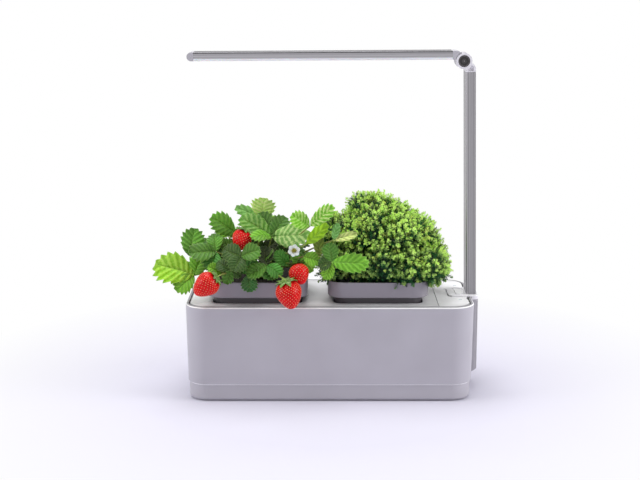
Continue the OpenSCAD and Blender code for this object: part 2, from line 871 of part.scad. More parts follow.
// Each leaflet, from the crown: where it starts, its tip, its width and how far it faces the front;
// leaflets of one leaf follow each other and start at one place
leaflets = [
    [[-76, -50, 14], [-123, -48, 31], 44, 55], [[-76, -50, 14], [-97, -62, -1], 26, 60],
    [[-76, -50, 14], [-66, -38, 40], 26, 60],
    [[-50, -40, 41], [-80, -55, 45], 28, 50], [[-50, -40, 41], [-57, -58, 24], 26, 60],
    [[-50, -40, 41], [-54, -20, 62], 22, 60],
    [[-83, -28, 33], [-78, -18, 66], 30, 70],
    [[-29, -10, 58], [-54, -22, 81], 28, 60],
    [[-38, 5, 51], [-52, 0, 61], 14, 60],
    [[18, -38, 60], [-22, -20, 82], 28, 60], [[18, -38, 60], [3, -18, 87], 26, 60],
    [[18, -38, 60], [-4, -58, 66], 20, 40], [[18, -38, 60], [60, -58, 67], 34, 60],
    [[18, -38, 60], [34, -30, 83], 26, 60],
    [[5, 0, 75], [7, -8, 102], 32, 75], [[5, 0, 75], [-28, 2, 89], 16, 60], [[5, 0, 75], [28, 8, 75], 14, 20],
    [[-18, -62, 40], [-40, -56, 48], 26, 55], [[-18, -62, 40], [-27, -74, 26], 26, 50],
    [[-18, -62, 40], [3, -66, 51], 26, 50],
    [[12, -60, 29], [7, -46, 50], 24, 60], [[12, -60, 29], [-11, -70, 20], 22, 50],
    [[12, -60, 29], [30, -68, 19], 20, 50],
    [[-9, -66, 19], [-8, -72, -1], 22, 75],
    [[-31, -62, 23], [-48, -55, 33], 20, 55], [[-31, -62, 23], [-37, -68, 8], 16, 60],
    [[-31, -62, 23], [-18, -62, 17], 14, 60],
    [[64, -62, 77], [42, -66, 91], 22, 75], [[64, -62, 77], [92, -72, 103], 20, 75],
    [[59, -64, 55], [85, -70, 81], 16, 75],
    [[76, -66, 41], [74, -62, 65], 14, 75],
    [[56, -63, 40], [76, -68, 36], 22, 60], [[56, -63, 40], [67, -56, 18], 14, 70],
    [[90, -72, 35], [87, -68, 58], 22, 65], [[90, -72, 35], [74, -73, 33], 20, 60],
    [[90, -72, 35], [82, -78, 16], 18, 75], [[90, -72, 35], [133, -78, 35], 26, 70],
    [[92, -67, 61], [119, -71, 70], 12, 60], [[92, -67, 61], [97, -69, 81], 12, 70],
    [[18, -28, 26], [37, -36, 46], 22, 60], [[38, -46, 25], [23, -50, 43], 20, 60],
    [[-30, -20, 39], [-44, -26, 52], 18, 55], [[-43, -55, 18], [-57, -62, 28], 18, 50],
    [[-21, -50, 19], [-1, -60, 34], 22, 50], [[25, -56, 12], [4, -66, 27], 20, 50],
    [[57, -58, 28], [42, -54, 41], 14, 50],
    [[-16, 46, 46], [-22, 74, 50], 28, -40], [[-16, 46, 46], [8, 64, 42], 24, -40],
    [[-16, 46, 46], [-44, 62, 44], 24, -40],
    [[22, 44, 38], [38, 68, 40], 26, -40], [[22, 44, 38], [48, 38, 42], 22, -20],
    [[22, 44, 38], [16, 70, 30], 22, -45],
    [[-52, 34, 32], [-76, 54, 36], 28, -40], [[-52, 34, 32], [-82, 28, 34], 24, -30],
    [[-52, 34, 32], [-54, 62, 28], 24, -45],
    [[2, 30, 64], [4, 56, 74], 26, -35], [[2, 30, 64], [26, 40, 70], 20, -20],
    [[2, 30, 64], [-22, 44, 72], 22, -30],
    [[40, 30, 30], [62, 38, 34], 20, -20], [[40, 30, 30], [46, 52, 26], 20, -40],
    [[40, 30, 30], [58, 18, 28], 18, -10],
    [[-40, 50, 18], [-50, 74, 16], 22, -45], [[-40, 50, 18], [-66, 56, 18], 20, -35],
    [[-40, 50, 18], [-18, 68, 18], 20, -40]];

// Each berry, from the crown: its middle, radius, length to the tip's middle, tilt, heading of the tilt
berries = [
    [[-18, -44, 59], 12, 12, 15, 0],
    [[-57, -80, 11], 14.5, 18, 52, 0],
    [[51, -72, 22], 12.2, 12, 40, 113],
    [[39, -90, 3], 15.6, 16, -13, 0]];

// The flower, from the crown: its middle
flower = [45, -61, 47];

// Half of a leaflet's outline, its midrib along X
module half_leaflet(length, width) {
    polygon([
        [0, 0], [0.12 * length, 0.22 * width], [0.3 * length, 0.42 * width], [0.5 * length, 0.5 * width],
        [0.68 * length, 0.46 * width], [0.84 * length, 0.32 * width], [0.95 * length, 0.14 * width],
        [length, 0]]);
}

// One leaflet, folded a little along its midrib and turned so that its face looks up and to the front
module leaflet(l) {
    run = l[1] - l[0];
    length = norm(run);
    heading = atan2(run[1], run[0]);
    rise = asin(run[2] / length);
    face = [0, -sin(l[3]), cos(l[3])];
    beside = [-sin(heading), cos(heading), 0];
    above = [-sin(rise) * cos(heading), -sin(rise) * sin(heading), cos(rise)];
    translate(l[0])
        rotate([0, 0, heading]) rotate([0, -rise, 0]) rotate([atan2(-(face * beside), face * above), 0, 0])
            for (side = [0, 1])
                mirror([0, side, 0]) rotate([12, 0, 0]) linear_extrude(leaf_t) half_leaflet(length, l[2]);
}

module strawberry_leaves() {
    color([0.28, 0.52, 0.14])
    translate(crown)
        for (l = leaflets) {
            leaflet(l);
            translate(l[0] - [0, 0, leaf_t]) cylinder(h = 2 * leaf_t, r = leaf_t, $fn = 8);
        }
}

// Where a berry's stalk meets it
function berry_top(b) = b[0] + (b[1] + 1) * [sin(b[3]) * cos(b[4]), sin(b[3]) * sin(b[4]), cos(b[3])];

// Where a stalk that runs to a point leaves the crown
function rooted(p) = [0, 0, crown_h] + (crown_r - 1) * (p - [0, 0, crown_h]) / norm(p - [0, 0, crown_h]);

// True for the first leaflet of each leaf
function leads(i) = i == 0 || leaflets[i][0] != leaflets[i - 1][0];

module strawberry_stalks() {
    color([0.45, 0.55, 0.2])
    translate(crown) {
        intersection() {
            translate([0, 0, crown_h]) sphere(crown_r);
            cylinder(h = 2 * crown_r, r = crown_r);
        }
        for (i = [0:len(leaflets) - 1])
            if (leads(i)) stalk(rooted(leaflets[i][0]), leaflets[i][0], stalk_r);
        for (b = berries) stalk(rooted(berry_top(b)), berry_top(b), stalk_r);
        stalk(rooted(flower), flower + [0, 1, 0], stalk_r);
    }
}

// A berry: a round shoulder that runs on into a blunt cone, its tip pointing down
module berry(r, length) {
    tip_r = 0.32 * r;
    slope = asin((r - tip_r) / length);
    sphere(r);
    translate([0, 0, -length]) sphere(tip_r);
    translate([0, 0, -length - tip_r * sin(slope)])
        cylinder(h = length + (tip_r - r) * sin(slope), r1 = tip_r * cos(slope), r2 = r * cos(slope));
}

module at_berries() {
    for (b = berries)
        translate(crown + b[0]) rotate([0, 0, b[4]]) rotate([0, b[3], 0]) {
            $r = b[1];
            $length = b[2];
            children();
        }
}

module strawberries() {
    color([0.8, 0.06, 0.08]) at_berries() berry($r, $length);
}

// The star of small green leaves on top of each berry
module berry_sepals() {
    color([0.25, 0.5, 0.12])
    at_berries()
        translate([0, 0, 0.88 * $r])
            linear_extrude(0.16 * $r)
                polygon([for (i = [0:15]) (i % 2 == 0 ? 0.85 : 0.35) * $r * [cos(i * 22.5), sin(i * 22.5)]]);
}

module strawberry_flower() {
    translate(crown + flower) rotate([78, 0, 0]) {
        color([0.97, 0.97, 0.95])
        for (i = [0:4])
            rotate([0, 0, i * 72 + 90]) translate([4.4, 0, 0]) cylinder(h = 0.9, r = 3.2, $fn = 24);
        color([0.85, 0.8, 0.2]) cylinder(h = 2.2, r = 2.4, $fn = 24);
    }
}

// ---------- Herb ----------

// The mound of foliage as overlapping balls: middle, from the sponge's top, and radius
mounds = [
    [[1, 2, 50], 54], [[-11, 0, 76], 32], [[-37, -6, 52], 33], [[-45, -16, 28], 25], [[37, 0, 66], 33],
    [[55, -6, 50], 30], [[60, -10, 32], 27], [[62, -40, 28], 26], [[-27, -34, 26], 22], [[1, -40, 28], 26],
    [[33, -42, 28], 26], [[-31, 38, 30], 27], [[5, 42, 34], 29], [[39, 40, 30], 28], [[63, 16, 28], 24],
    [[21, -24, 58], 32], [[-19, -20, 58], 30]];

module herb_foliage() {
    low = collar_top + 0.4;
    gap = fit + pot_wall;
    color([0.4, 0.6, 0.15]) {
        intersection() {
            translate([right_pot_x, 0, sponge_top]) for (m = mounds) translate(m[0]) sphere(m[1]);
            translate([-tank_w / 2, -tank_d, low]) cube([tank_w, 2 * tank_d, 200]);
        }
        translate([right_pot_x, 0, 0])
            plate(pot_w - 2 * gap - 12, pot_d - 2 * gap - 12, 14, sponge_top + 0.2, low - sponge_top + 1);
    }
}

module herb_stems() {
    color([0.4, 0.5, 0.2])
    for (i = [0:6])
        translate([right_pot_x + 26 * cos(i * 51.4), 26 * sin(i * 51.4), sponge_top - 12])
            cylinder(h = 11.9, r = 1.6);
}

// ---------- Lamp bracket ----------

module lamp_bracket() {
    slab_w = leg_out - tongue_x;
    slab_x = tongue_x + slab_w / 2;
    color([0.9, 0.89, 0.91])
    difference() {
        union() {
            translate([slab_x, 0, 0])
                soft_plate(slab_w, bracket_d, bracket_r, bracket_under, bracket_t, bracket_t - 0.6);
            translate([0, 0, tongue_z])
                linear_extrude(bracket_under - tongue_z + bond) tongue_plan(0, tongue_right);
            translate([0, 0, leg_z]) linear_extrude(bracket_under - leg_z + bond) leg_plan();
            lamp_frame() translate([0, 0, -1]) plate_tenon();
        }
        translate([0, 0, tongue_z - over])
            linear_extrude(bracket_under - tongue_z + over)
                offset_tongue();
        difference() {
            translate([leg_in - over, bracket_wall - bracket_d / 2, leg_z + leg_bevel])
                cube([leg_t - bracket_wall + over, inner_d, pocket_top - leg_z - leg_bevel]);
            at_leg_screws() translate([cover_leg_t, 0, 0]) rotate([0, 90, 0]) cylinder(h = leg_t, r = 3);
        }
        at_leg_screws() rotate([0, 90, 0]) cylinder(h = leg_t - 2, r = 1.15);
        translate([leg_in, 0, leg_z]) leg_bevel_cut();
        translate([button_x, 0, bracket_top - dish_h]) linear_extrude(dish_h + over)
            round_rect(dish_w, dish_l, dish_w / 2 - 0.01);
        translate([button_x, 0, bracket_under - over]) linear_extrude(bracket_t + 2 * over)
            button_plan(button_hole);
        lamp_frame() at_pole_screws() translate([-6, 0, 0]) rotate([0, 90, 0]) cylinder(h = 14, r = 1.25);
    }
}

// The hollow under the tongue, for the button and its board
module offset_tongue() {
    intersection() {
        translate([tongue_x + bracket_wall, bracket_wall - bracket_d / 2])
            square([tongue_right - tongue_x - 2 * bracket_wall, inner_d]);
        translate([bracket_wall, 0]) tongue_plan(-0.01, tongue_right);
    }
}

// The leg in plan: round corners outside, square ones against the tank
module leg_plan() {
    intersection() {
        translate([leg_out - 15, 0]) round_rect(30, bracket_d, bracket_r);
        translate([leg_in, -bracket_d]) square([leg_t, 2 * bracket_d]);
    }
}

module leg_bevel_cut() {
    translate([0, bracket_d, 0]) rotate([90, 0, 0])
        linear_extrude(2 * bracket_d)
            polygon([[-over, -over], [-over, 0], [0, 0], [leg_t, leg_bevel], [leg_t + over, leg_bevel],
                [leg_t + over, -over]]);
}

// The tenon that the pole slides over
module plate_tenon() {
    gap = pole_wall + 0.2;
    translate([0, 0, 0]) linear_extrude(tenon_h + 1)
        square([pole_w - 2 * gap, pole_d - 2 * gap], center = true);
}

module leg_cover() {
    color([0.86, 0.85, 0.87])
    difference() {
        translate([leg_in, bracket_wall + 0.1 - bracket_d / 2, leg_z + leg_bevel + 0.1])
            cube([cover_leg_t, inner_d - 0.2, pocket_top - leg_z - leg_bevel - 0.2]);
        at_leg_screws() translate([-over, 0, 0]) rotate([0, 90, 0]) {
            cylinder(h = over + 3, r = 1.3);
            cylinder(h = over + 0.8, r = 2.2);
        }
    }
}

module at_leg_screws() {
    for (z = [leg_z + leg_bevel + 12, pocket_top - 12])
        translate([leg_in, 0, z]) children();
}

module cover_screws() {
    color([0.75, 0.75, 0.77])
    at_leg_screws() translate([0.8, 0, 0]) rotate([0, 90, 0]) screw(1.1, 2.1, 0.7, 5);
}

module tongue_cover() {
    color([0.86, 0.85, 0.87])
    difference() {
        translate([0, 0, tongue_z]) linear_extrude(cover_t)
            intersection() {
                translate([tongue_x + bracket_wall + 0.1, bracket_wall + 0.1 - bracket_d / 2])
                    square([tongue_right - tongue_x - 2 * bracket_wall - 0.2, inner_d - 0.2]);
                translate([bracket_wall + 0.1, 0]) tongue_plan(-0.01, tongue_right);
            }
        at_pins() translate([0, 0, tongue_z - over]) cylinder(h = cover_t + 2 * over, r = 1);
    }
}

module at_pins() {
    for (y = [-12, 12]) translate([tongue_x + 8, y, 0]) children();
}

module contact_pins() {
    color([0.85, 0.7, 0.35])
    at_pins() translate([0, 0, pocket_floor + fit])
        cylinder(h = tongue_z + cover_t - pocket_floor - fit, r = 0.9);
}

module button_board() {
    color([0.1, 0.35, 0.2])
    translate([button_x - 0.6, 0, 0]) plate(15, bracket_d - 8, 1, tongue_z + cover_t, board_t);
}

// The button's plan, grown by a gap
module button_plan(gap) {
    round_rect(button_w + 2 * gap, button_l + 2 * gap, button_w / 2 + gap - 0.01);
}

module lamp_button() {
    top = bracket_top - 0.1;
    color([0.96, 0.96, 0.97])
    translate([button_x, 0, 0]) {
        translate([0, 0, flange_z()]) linear_extrude(top - flange_z()) button_plan(0);
        translate([0, 0, flange_z()]) linear_extrude(flange_t) button_plan(button_flange);
    }
}

// The underside of the button's flange, which leaves its travel above the board
function flange_z() = tongue_z + cover_t + board_t + button_travel + 0.05;

// ---------- Pole and hinge ----------

// The pole's own frame: its foot's middle, leaning towards the plants
module lamp_frame() {
    translate([foot_x, 0, foot_z]) rotate([0, -pole_lean, 0]) children();
}

// The bar's own frame: the hinge's middle, the bar running towards -X
module bar_frame() {
    translate([
        foot_x - hinge_in * cos(pole_lean) - hinge_z * sin(pole_lean), 0,
        foot_z + hinge_z * cos(pole_lean) - hinge_in * sin(pole_lean)])
        rotate([0, -bar_droop, 0]) children();
}

module at_pole_screws() {
    for (z = [6, 13]) translate([0, 0, z]) children();
}

// Fine grooves along a face: the face's half length, its distance from the middle and how many
module grooves(half, reach, count) {
    pitch = 2 * half / (count + 1);
    for (i = [1:count], side = [-1, 1])
        translate([i * pitch - half, side * reach]) square([0.9, 1], center = true);
}

module pole_plan() {
    difference() {
        round_rect(pole_w, pole_d, 1.5);
        square([pole_w - 2 * pole_wall, pole_d - 2 * pole_wall], center = true);
        grooves(pole_w / 2, pole_d / 2, 3);
        rotate([0, 0, 90]) grooves(pole_d / 2, pole_w / 2, 4);
    }
}

module lamp_pole() {
    color([0.72, 0.71, 0.74])
    lamp_frame()
        difference() {
            translate([0, 0, foot_gap]) linear_extrude(pole_l - foot_gap) pole_plan();
            at_pole_screws() rotate([0, 90, 0]) cylinder(h = pole_w, r = 1.35);
        }
}

module pole_screws() {
    color([0.75, 0.75, 0.77])
    lamp_frame() at_pole_screws()
        translate([pole_w / 2 + touch, 0, 0]) rotate([0, -90, 0]) screw(1.2, 2.2, 1, 10);
}

// The fork that carries the hinge: a plug in the pole, a neck, and two cheeks round the knuckle
module pole_head() {
    gap = pole_wall + 0.2;
    color([0.82, 0.81, 0.84])
    lamp_frame()
        difference() {
            union() {
                translate([0, 0, pole_l - 16]) linear_extrude(16.5)
                    square([pole_w - 2 * gap, pole_d - 2 * gap], center = true);
                translate([0, pole_d / 2, pole_l]) rotate([90, 0, 0]) linear_extrude(pole_d) head_outline();
            }
            translate([-hinge_in, 0, hinge_z]) rotate([90, 0, 0]) {
                cylinder(h = 2 * fork_in, r = barrel_r + fitting_gap, center = true);
                cylinder(h = pole_d + 2, r = pin_r + touch, center = true);
                for (side = [0, 1])
                    mirror([0, 0, side]) translate([0, 0, pole_d / 2 - cap_sink - cap_h])
                        cylinder(h = cap_sink + cap_h + over, r = cap_r + touch);
            }
            for (side = [0, 1])
                mirror([0, side, 0]) translate([0, -pole_d / 2 - over, pole_l]) rotate([90, 0, 0])
                    mirror([0, 0, 1]) linear_extrude(over + 2.5) head_recess();
        }
}

// The head seen from the front: the barrel, and the curved arm that carries it
module head_outline() {
    translate([-hinge_in, hinge_up]) circle(barrel_r);
    translate([-pole_w / 2, 0]) square([pole_w, arm_z]);
    translate([arm_x, arm_z])
        intersection() {
            circle(arm_r);
            translate([arm_r - pole_w, 0]) square([pole_w, arm_r]);
        }
}

// The three-sided hollow between barrel and arm
module head_recess() {
    difference() {
        intersection() {
            translate([2.6 - pole_w / 2, 1]) square([pole_w, arm_z + arm_r]);
            union() {
                translate([arm_x, arm_z]) circle(arm_r - 2.5);
                translate([arm_x, 1]) square([arm_r - 2.5, arm_z - 1]);
                translate([-pole_w / 2, 1]) square([pole_w / 2, arm_z]);
            }
        }
        translate([-hinge_in, hinge_up]) circle(barrel_r + 0.9);
    }
}

module hinge_pin() {
    color([0.75, 0.75, 0.77])
    lamp_frame() translate([-hinge_in, 0, hinge_z]) rotate([90, 0, 0])
        cylinder(h = pole_d - 2 * (cap_sink + cap_h) - 0.2, r = pin_r, center = true);
}

module hinge_washers() {
    color([0.9, 0.9, 0.9])
    lamp_frame() translate([-hinge_in, 0, hinge_z]) rotate([90, 0, 0])
        for (side = [0, 1])
            mirror([0, 0, side]) translate([0, 0, knuckle_w / 2 + 0.1])
                difference() {
                    cylinder(h = fork_gap - 0.1, r = 6);
                    translate([0, 0, -over]) cylinder(h = 3, r = pin_r + running);
                }
}

module hinge_caps() {
    color([0.08, 0.08, 0.09])
    lamp_frame() translate([-hinge_in, 0, hinge_z]) rotate([90, 0, 0])
        for (side = [0, 1])
            mirror([0, 0, side]) translate([0, 0, pole_d / 2 - cap_sink - cap_h])
                difference() {
                    cylinder(h = cap_h, r = cap_r);
                    translate([0, 0, cap_h - 0.6]) cylinder(h = over, r = cap_r - 2.2);
                }
}

// ---------- Lamp bar ----------

// The bar's outer section with round upper edges; x runs across the bar, y up
module bar_plan() {
    edge = 2.4;
    difference() {
        union() {
            translate([-bar_w / 2, diffuser_h]) square([bar_w, bar_h - diffuser_h - edge]);
            translate([edge - bar_w / 2, bar_h - edge - 0.5]) square([bar_w - 2 * edge, edge + 0.5]);
            for (side = [-1, 1]) translate([side * (bar_w / 2 - edge), bar_h - edge]) circle(edge);
        }
        translate([bar_wall - bar_w / 2, -over])
            square([bar_w - 2 * bar_wall, bar_h - bar_wall - 0.6 + over]);
        for (z = [4.4, 6.8], side = [-1, 1])
            translate([side * bar_w / 2, z]) square([1, 0.8], center = true);
        for (i = [-4:4]) translate([i * 2.6, bar_h]) square([0.9, 0.9], center = true);
    }
}

// Places something that runs along the bar, from its end fitting towards its tip
module along_bar(start) {
    bar_frame() translate([fitting_x - start, 0, bar_z]) rotate([90, 0, -90]) children();
}

module lamp_bar() {
    color([0.72, 0.71, 0.74]) along_bar(0) linear_extrude(bar_l - cap_l) bar_plan();
}

module bar_end_cap() {
    inner = bar_wall + 0.2;
    color([0.8, 0.8, 0.83])
    bar_frame() translate([fitting_x - bar_l + cap_l, 0, bar_z]) {
        translate([0, bar_w / 2, 0]) rotate([90, 0, 0]) linear_extrude(bar_w)
            intersection() {
                translate([-cap_l, 0]) square([cap_l, bar_h]);
                union() {
                    translate([bar_h / 2 - cap_l, bar_h / 2]) circle(bar_h / 2);
                    translate([bar_h / 2 - cap_l, 0]) square([cap_l, bar_h]);
                }
            }
        translate([-1, inner - bar_w / 2, diffuser_h + 0.2]) cube([8, bar_w - 2 * inner, plug_h]);
    }
}

// The diffuser's section: a shallow channel with soft lower edges and two lips inside the bar
module diffuser_plan() {
    edge = 1.2;
    lip_x = bar_w / 2 - bar_wall - 0.2;
    difference() {
        union() {
            translate([-bar_w / 2, edge]) square([bar_w, diffuser_h - 0.1 - edge]);
            translate([edge - bar_w / 2, 0]) square([bar_w - 2 * edge, edge + 0.5]);
            for (side = [-1, 1]) translate([side * (bar_w / 2 - edge), edge]) circle(edge);
            translate([-lip_x, edge]) square([2 * lip_x, diffuser_h]);
        }
        translate([1.2 - lip_x, 1.4]) square([2 * lip_x - 2.4, 2 * diffuser_h]);
    }
}

module lamp_diffuser() {
    color([0.97, 0.97, 0.99])
    along_bar(0.2)
        difference() {
            linear_extrude(bar_l - cap_l - 0.4) diffuser_plan();
            for (z = [-over, bar_l - cap_l - 0.4 - 10])
                translate([-bar_w / 2, diffuser_h, z]) cube([bar_w, diffuser_h, 10 + over]);
        }
}

module led_board() {
    color([0.95, 0.95, 0.93])
    along_bar(10) translate([-board_w / 2, bar_h - bar_wall - 0.6 - 1.6 - 0.05, 0])
        cube([board_w, 1.6, bar_l - 30]);
}

module lamp_leds() {
    pitch = (bar_l - 30 - 2 * led_pitch_end) / (led_count - 1);
    low = bar_h - bar_wall - 0.6 - 1.6 - 0.05 - 1;
    color([1, 0.9, 0.6])
    along_bar(10 + led_pitch_end)
        for (i = [0:led_count - 1])
            translate([-1.5, low, i * pitch - 1.5]) cube([3, 1, 3]);
}

// The bar's end fitting: a plug in the bar, a block, and the knuckle on the pin
module bar_fitting() {
    inner = bar_wall + 0.2;
    color([0.82, 0.81, 0.84])
    bar_frame()
        difference() {
            union() {
                translate([fitting_x - 9, inner - bar_w / 2, bar_z + diffuser_h + 0.2])
                    cube([9.5, bar_w - 2 * inner, plug_h]);
                translate([0, bar_w / 2, 0]) rotate([90, 0, 0]) linear_extrude(bar_w) fitting_outline();
                rotate([90, 0, 0]) cylinder(h = knuckle_w, r = barrel_r - 0.5, center = true);
            }
            for (side = [0, 1])
                mirror([0, side, 0]) translate([0, -knuckle_w / 2, 0]) rotate([90, 0, 0])
                    cylinder(h = bar_w, r = barrel_r + fitting_gap);
            rotate([90, 0, 0]) cylinder(h = bar_w, r = pin_r + running, center = true);
            at_set_screws() translate([0, 0, diffuser_h]) cylinder(h = plug_h + over, r = screw_r + touch);
        }
}

module at_set_screws() {
    for (side = [-1, 1]) translate([fitting_x - 5, side * 8, bar_z]) children();
}

// The fitting seen from the front: square against the bar, bevelled over the barrel
module fitting_outline() {
    polygon([
        [fitting_x, bar_z], [fitting_x, bar_z + bar_h], [fitting_x + 6.2, bar_z + bar_h],
        [fitting_x + 11.2, bar_z + bar_h - 2.6], [fitting_x + 11.8, bar_z + bar_h - 4], [-2, bar_z]]);
}

module bar_screws() {
    color([0.75, 0.75, 0.77])
    bar_frame() at_set_screws()
        translate([0, 0, diffuser_h + 0.6])
            cylinder(h = bar_h - bar_wall - diffuser_h - 1.2 - touch, r = screw_r);
}

base_tray();
body_shell();
non_slip_ring();
base_screws();
water_tank();
power_inlet();
power_board();
pump_body();
pump_cover();
pump_rotor();
pump_hose();
hose_spout();
control_panel();
control_box();
box_screws();
lamp_socket();
control_board();
board_parts();
indicator_lenses();
contact_pads();
float_stem();
water_float();
plant_lid();
left_pot();
left_sponge();
strawberry_stalks();
strawberry_leaves();
strawberries();
berry_sepals();
strawberry_flower();
right_pot();
right_sponge();
herb_stems();
herb_foliage();
lamp_bracket();
leg_cover();
tongue_cover();
cover_screws();
lamp_button();
button_board();
contact_pins();
lamp_pole();
pole_screws();
pole_head();
hinge_pin();
hinge_washers();
hinge_caps();
bar_fitting();
lamp_bar();
bar_end_cap();
lamp_diffuser();
led_board();
lamp_leds();
bar_screws();
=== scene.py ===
"""Looks of a countertop hydroponic garden: an oblong tank, two lift-out pots with plants, and a grow lamp.

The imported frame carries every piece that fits, moves or holds. This script gives each of those pieces its
finish and models what grows: the strawberry plant, its fruit and flower, and the bushy herb.
"""

import logging
import math
from dataclasses import dataclass, field
from enum import Enum
from functools import cache
from random import Random
from typing import Any, Sequence

import bmesh
import bpy
from mathutils import Matrix, Vector
from mathutils.kdtree import KDTree


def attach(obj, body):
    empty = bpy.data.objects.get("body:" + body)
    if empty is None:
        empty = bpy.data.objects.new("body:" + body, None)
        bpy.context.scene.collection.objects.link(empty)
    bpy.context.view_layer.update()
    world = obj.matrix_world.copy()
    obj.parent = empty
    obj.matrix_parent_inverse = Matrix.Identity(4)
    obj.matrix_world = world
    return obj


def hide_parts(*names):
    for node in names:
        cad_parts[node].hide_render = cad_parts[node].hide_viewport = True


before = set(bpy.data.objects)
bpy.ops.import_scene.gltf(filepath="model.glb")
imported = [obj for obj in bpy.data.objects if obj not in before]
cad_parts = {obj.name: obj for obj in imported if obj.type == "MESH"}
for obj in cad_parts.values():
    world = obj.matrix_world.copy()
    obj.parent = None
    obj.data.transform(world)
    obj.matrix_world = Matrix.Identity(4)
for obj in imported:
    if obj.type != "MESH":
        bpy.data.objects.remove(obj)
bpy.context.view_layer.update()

log = logging.getLogger("garden")
Colour = tuple[float, float, float, float]
Point = tuple[float, float, float]
Socket = bpy.types.NodeSocket

MM = 0.001  # one millimetre in metres
GOLDEN_TURN = math.pi * (3 - math.sqrt(5))  # radians from one seed or stamen to the next
CROWN_TURN = 2.4  # radians from one stalk to the next round the crown
TOOTH_COLUMNS = 16  # how many teeth the width of a leaflet's UV map stands for
HARD_EDGE = 0.0001  # half the width, in metres, of a crisp change of colour
LEAF_GLOW = (0.4, 1.0, 0.2)  # how far red, green and blue light spreads in a leaf
PURE_WHITE = (1.0, 1.0, 1.0, 1.0)
PLAIN_TONE = (1.0, 1.0, 1.0, 0.0)  # the mesh colour of points whose finish doesn't read it


def rgb(red: int, green: int, blue: int) -> Colour:
    """Turns a display colour into the linear colour that shaders work with.

    Args:
        red: Red, 0 to 255.
        green: Green, 0 to 255.
        blue: Blue, 0 to 255.

    Returns:
        Linear red, green and blue with an alpha of 1.
    """
    def linear(channel: float) -> float:
        """Undoes the display curve for one channel."""
        return channel / 12.92 if channel <= 0.04045 else ((channel + 0.055) / 1.055) ** 2.4

    return linear(red / 255), linear(green / 255), linear(blue / 255), 1.0


def shaded(colour: Colour, factor: float) -> Colour:
    """Returns a colour made darker or lighter by a factor, its alpha kept."""
    return tuple(min(1.0, channel * factor) for channel in colour[:3]) + (colour[3],)


# ---------------------------------------------------------------- node trees


class Graph:
    """Adds and joins the nodes of one shader or geometry tree."""

    def __init__(self, tree: bpy.types.NodeTree) -> None:
        """Takes over a tree and empties it."""
        self.tree = tree
        tree.nodes.clear()

    def feed(self, node: bpy.types.Node, inputs: dict[Any, Any]) -> None:
        """Fills a node's inputs.

        Args:
            node: The node.
            inputs: Socket name or number to a value, or to the output socket that feeds it.
        """
        for name, value in inputs.items():
            if isinstance(value, Socket):
                self.tree.links.new(value, node.inputs[name])
            else:
                node.inputs[name].default_value = value

    def add(self, kind: str, inputs: dict[Any, Any] | None = None, **settings: Any) -> bpy.types.Node:
        """Adds a node.

        Args:
            kind: The node's type name.
            inputs: Its inputs, as feed takes them.
            **settings: The node's own properties.

        Returns:
            The new node.
        """
        node = self.tree.nodes.new(kind)
        for name, value in settings.items():
            setattr(node, name, value)
        self.feed(node, inputs or {})
        return node

    def math(self, operation: str, first: Any, second: Any = 0.0, clamp: bool = False) -> Socket:
        """Adds a Math node and returns its result."""
        node = self.add("ShaderNodeMath", {0: first, 1: second}, operation=operation, use_clamp=clamp)
        return node.outputs[0]

    def vector(self, operation: str, first: Any, second: Any = (0, 0, 0), out: str = "Vector") -> Socket:
        """Adds a Vector Math node and returns its result."""
        return self.add("ShaderNodeVectorMath", {0: first, 1: second}, operation=operation).outputs[out]

    def mix(self, factor: Any, first: Any, second: Any, blend: str = "MIX") -> Socket:
        """Adds a colour Mix node and returns its result."""
        node = self.add("ShaderNodeMix", {0: factor, 6: first, 7: second}, data_type="RGBA", blend_type=blend)
        return node.outputs[2]

    def spread(self, value: Any, low: float, high: float, to_low: float = 0, to_high: float = 1) -> Socket:
        """Maps a value from one range to another, clamped, and returns the result."""
        sockets = {"Value": value, "From Min": low, "From Max": high, "To Min": to_low, "To Max": to_high}
        return self.add("ShaderNodeMapRange", sockets, clamp=True).outputs["Result"]

    def between(self, value: Any, low: float, high: float) -> Socket:
        """Returns 1 where a value lies between two limits, else 0."""
        above, below = self.math("GREATER_THAN", value, low), self.math("LESS_THAN", value, high)
        return self.math("MULTIPLY", above, below)

    def place(self) -> Socket:
        """Returns the Object coordinates."""
        return self.add("ShaderNodeTexCoord").outputs["Object"]

    def axis(self, vector: Socket, number: int) -> Socket:
        """Returns one axis of a vector: 0 is X, 1 is Y, 2 is Z."""
        return self.add("ShaderNodeSeparateXYZ", {"Vector": vector}).outputs[number]

    def noise(self, place: Socket, scale: Any, detail: float) -> Socket:
        """Adds a cloudy pattern and returns its value."""
        return self.add("ShaderNodeTexNoise", {"Vector": place, "Scale": scale, "Detail": detail}).outputs[0]

    def cells(self, place: Socket, scale: Any) -> Socket:
        """Adds a pattern of cells and returns the distance from their middles."""
        return self.add("ShaderNodeTexVoronoi", {"Vector": place, "Scale": scale}).outputs["Distance"]

    def bump(self, height: Socket, distance: float, strength: float) -> Socket:
        """Turns a height into a surface direction; the distance is metres."""
        sockets = {"Height": height, "Distance": distance, "Strength": strength}
        return self.add("ShaderNodeBump", sockets).outputs[0]

    def attribute(self, name: str) -> Socket:
        """Returns a number that the mesh carries under a name."""
        return self.add("ShaderNodeAttribute", attribute_name=name).outputs["Fac"]

    def group(self, tree: bpy.types.NodeTree, inputs: dict[Any, Any] | None = None) -> bpy.types.Node:
        """Places a shared node group."""
        return self.add("ShaderNodeGroup", inputs, node_tree=tree)

    def seen(self) -> Socket:
        """Returns 1 where a light path comes from the camera, a mirror or glass."""
        path = self.add("ShaderNodeLightPath").outputs
        clear = self.math("MAXIMUM", path["Is Camera Ray"], path["Is Transmission Ray"])
        return self.math("MAXIMUM", clear, path["Is Glossy Ray"])


